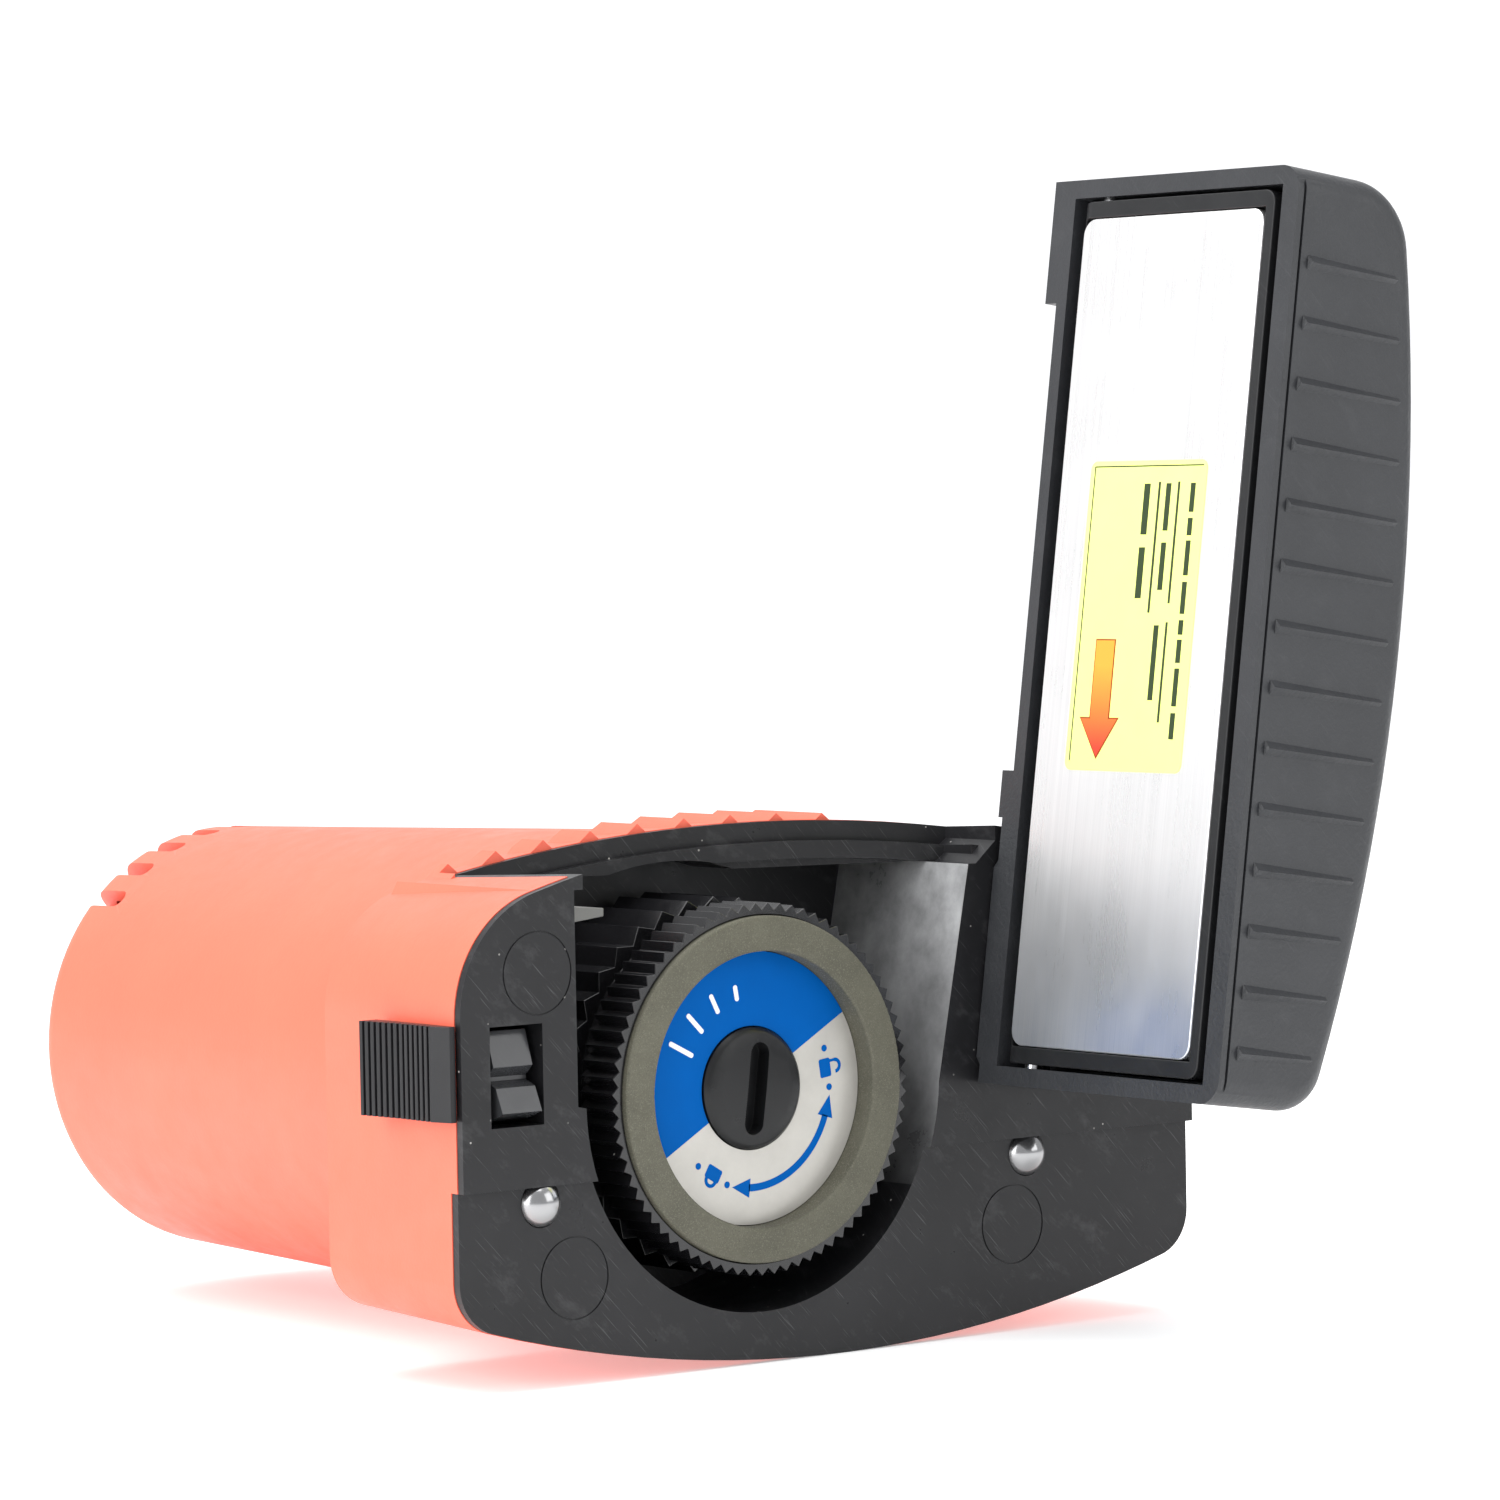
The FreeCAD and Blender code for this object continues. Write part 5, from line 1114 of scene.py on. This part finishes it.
# ---------------------------------------------------------------- stage
@dataclass
class Studio:
    """White sweep, soft lights and the camera."""

    lens: float = 149.9
    azimuth: float = 37.95
    elevation: float = -2.38
    roll: float = -1.06
    eye: Vector = field(default_factory=lambda: Vector((-462.6, -592.4, 72.2)) * MM)
    ring_proud: float = 1.2 * MM
    sweep_radius: float = 0.6
    sweep_reach: float = 3.0
    sweep_glow: float = 0.3

    def build(self) -> None:
        """Set the stage."""
        self.build_sweep()
        self.build_lights()
        self.build_camera()

    def build_sweep(self) -> None:
        """Floor that curves up into a backdrop."""
        made = bmesh.new()
        reach = self.sweep_reach
        near = [made.verts.new((x, -reach, 0)) for x in (-reach, reach)]
        edge = made.edges.new(near)
        out = bmesh.ops.extrude_edge_only(made, edges=[edge])["geom"]
        far = [v for v in out if isinstance(v, bmesh.types.BMVert)]
        bmesh.ops.translate(made, verts=far, vec=(0, 1.9 * reach, 0))
        last = [e for e in made.edges if all(v in far for v in e.verts)]
        bmesh.ops.spin(made, geom=[*far, *last], cent=(0, 0.9 * reach, self.sweep_radius),
                       axis=(1, 0, 0), angle=math.pi / 2, steps=24)
        top = max(v.co.z for v in made.verts)
        rim = [e for e in made.edges if e.is_boundary and all(v.co.z > top - 1e-4 for v in e.verts)]
        out = bmesh.ops.extrude_edge_only(made, edges=rim)["geom"]
        bmesh.ops.translate(made, verts=[v for v in out if isinstance(v, bmesh.types.BMVert)],
                            vec=(0, 0, reach))
        bmesh.ops.rotate(made, verts=made.verts, cent=(0, 0, 0),
                         matrix=Matrix.Rotation(math.radians(-self.azimuth), 3, "Z"))
        bmesh.ops.recalc_face_normals(made, faces=made.faces)
        mesh = bpy.data.meshes.new("sweep")
        made.to_mesh(mesh)
        made.free()
        for polygon in mesh.polygons:
            polygon.use_smooth = True
        recipe = Recipe("sweep_white", Roughness=0.6, Specular_IOR_Level=0.3)
        recipe.colour(recipe.mix(recipe.span(recipe.noise(0.5), NOISE_LOW, NOISE_HIGH), (0.86, 0.865, 0.87),
                                 (0.89, 0.89, 0.89)))
        recipe.shader.inputs["Emission Color"].default_value = (1.0, 1.0, 1.0, 1.0)
        recipe.shader.inputs["Emission Strength"].default_value = self.sweep_glow
        mesh.materials.append(recipe.material)
        sweep = bpy.data.objects.new("sweep", mesh)
        bpy.context.scene.collection.objects.link(sweep)
        sweep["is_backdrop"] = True

    def area(self, name: str, place: Vector, aim: Vector, size: tuple[float, float],
             power: float) -> None:
        """Add a rectangular soft light.

        Args:
            name: Its name.
            place: Where it stands.
            aim: What it points at.
            size: Width and height.
            power: Watts.
        """
        data = bpy.data.lights.new(name, "AREA")
        data.shape = "RECTANGLE"
        data.size, data.size_y = size
        data.energy = power
        lamp = bpy.data.objects.new(name, data)
        lamp.location = place
        lamp.rotation_euler = (aim - place).to_track_quat("-Z", "Y").to_euler()
        bpy.context.scene.collection.objects.link(lamp)

    def build_lights(self) -> None:
        """Soft boxes and a pale sky."""
        low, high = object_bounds()
        middle = (low + high) / 2
        self.area("top_box", middle + Vector((-0.15, 0.1, 0.95)), middle, (1.2, 1.2), 14)
        self.area("left_box", middle + Vector((-0.95, -0.05, 0.25)), middle, (0.8, 0.9), 8)
        self.area("front_box", middle + Vector((0.55, -0.95, 0.45)), middle, (0.7, 0.7), 3.0)
        world = bpy.data.worlds.new("pale_sky")
        world.use_nodes = True
        background = world.node_tree.nodes["Background"]
        background.inputs["Color"].default_value = (0.97, 0.98, 1.0, 1.0)
        background.inputs["Strength"].default_value = 0.75
        bpy.context.scene.world = world
        bpy.context.scene.view_settings.view_transform = "Standard"

    def build_camera(self) -> None:
        """Camera on the tool's front left, nearly level with it."""
        low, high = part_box("grinding_ring")
        origin = Vector(((low.x + high.x) / 2, low.y + self.ring_proud, (low.z + high.z) / 2))
        data = bpy.data.cameras.new("camera")
        data.lens = self.lens
        data.sensor_width = 36.0
        data.clip_start, data.clip_end = 0.05, 20.0
        camera = bpy.data.objects.new("camera", data)
        camera.location = origin + self.eye
        turn = Matrix.Rotation(math.radians(-self.azimuth), 4, "Z")
        turn = turn @ Matrix.Rotation(math.radians(90 + self.elevation), 4, "X")
        turn = turn @ Matrix.Rotation(math.radians(self.roll), 4, "Z")
        camera.rotation_euler = turn.to_euler()
        bpy.context.scene.collection.objects.link(camera)
        bpy.context.scene.camera = camera


def arm_lean() -> Euler:
    """Turn that lines a pattern's Z axis up with the standing guide arm."""
    joint = next(j for j in frame["joints"] if j["name"] == "plate_tilt")
    axis = Vector(joint["axis"])
    return Euler((0.0, -math.atan2(axis.x, axis.z) + math.pi, 0.0))


def main() -> None:
    """Build the whole tool and its stage."""
    logging.basicConfig(level=logging.INFO, format="%(message)s")
    palette = Palette(arm_lean())
    for part in (Housing(palette), Motor(palette), GrindingHead(palette), Latch(palette),
                 GuideArm(palette)):
        log.info("-- %s", type(part).__name__)
        part.build()
    Studio().build()


if __name__ == "__main__":
    main()
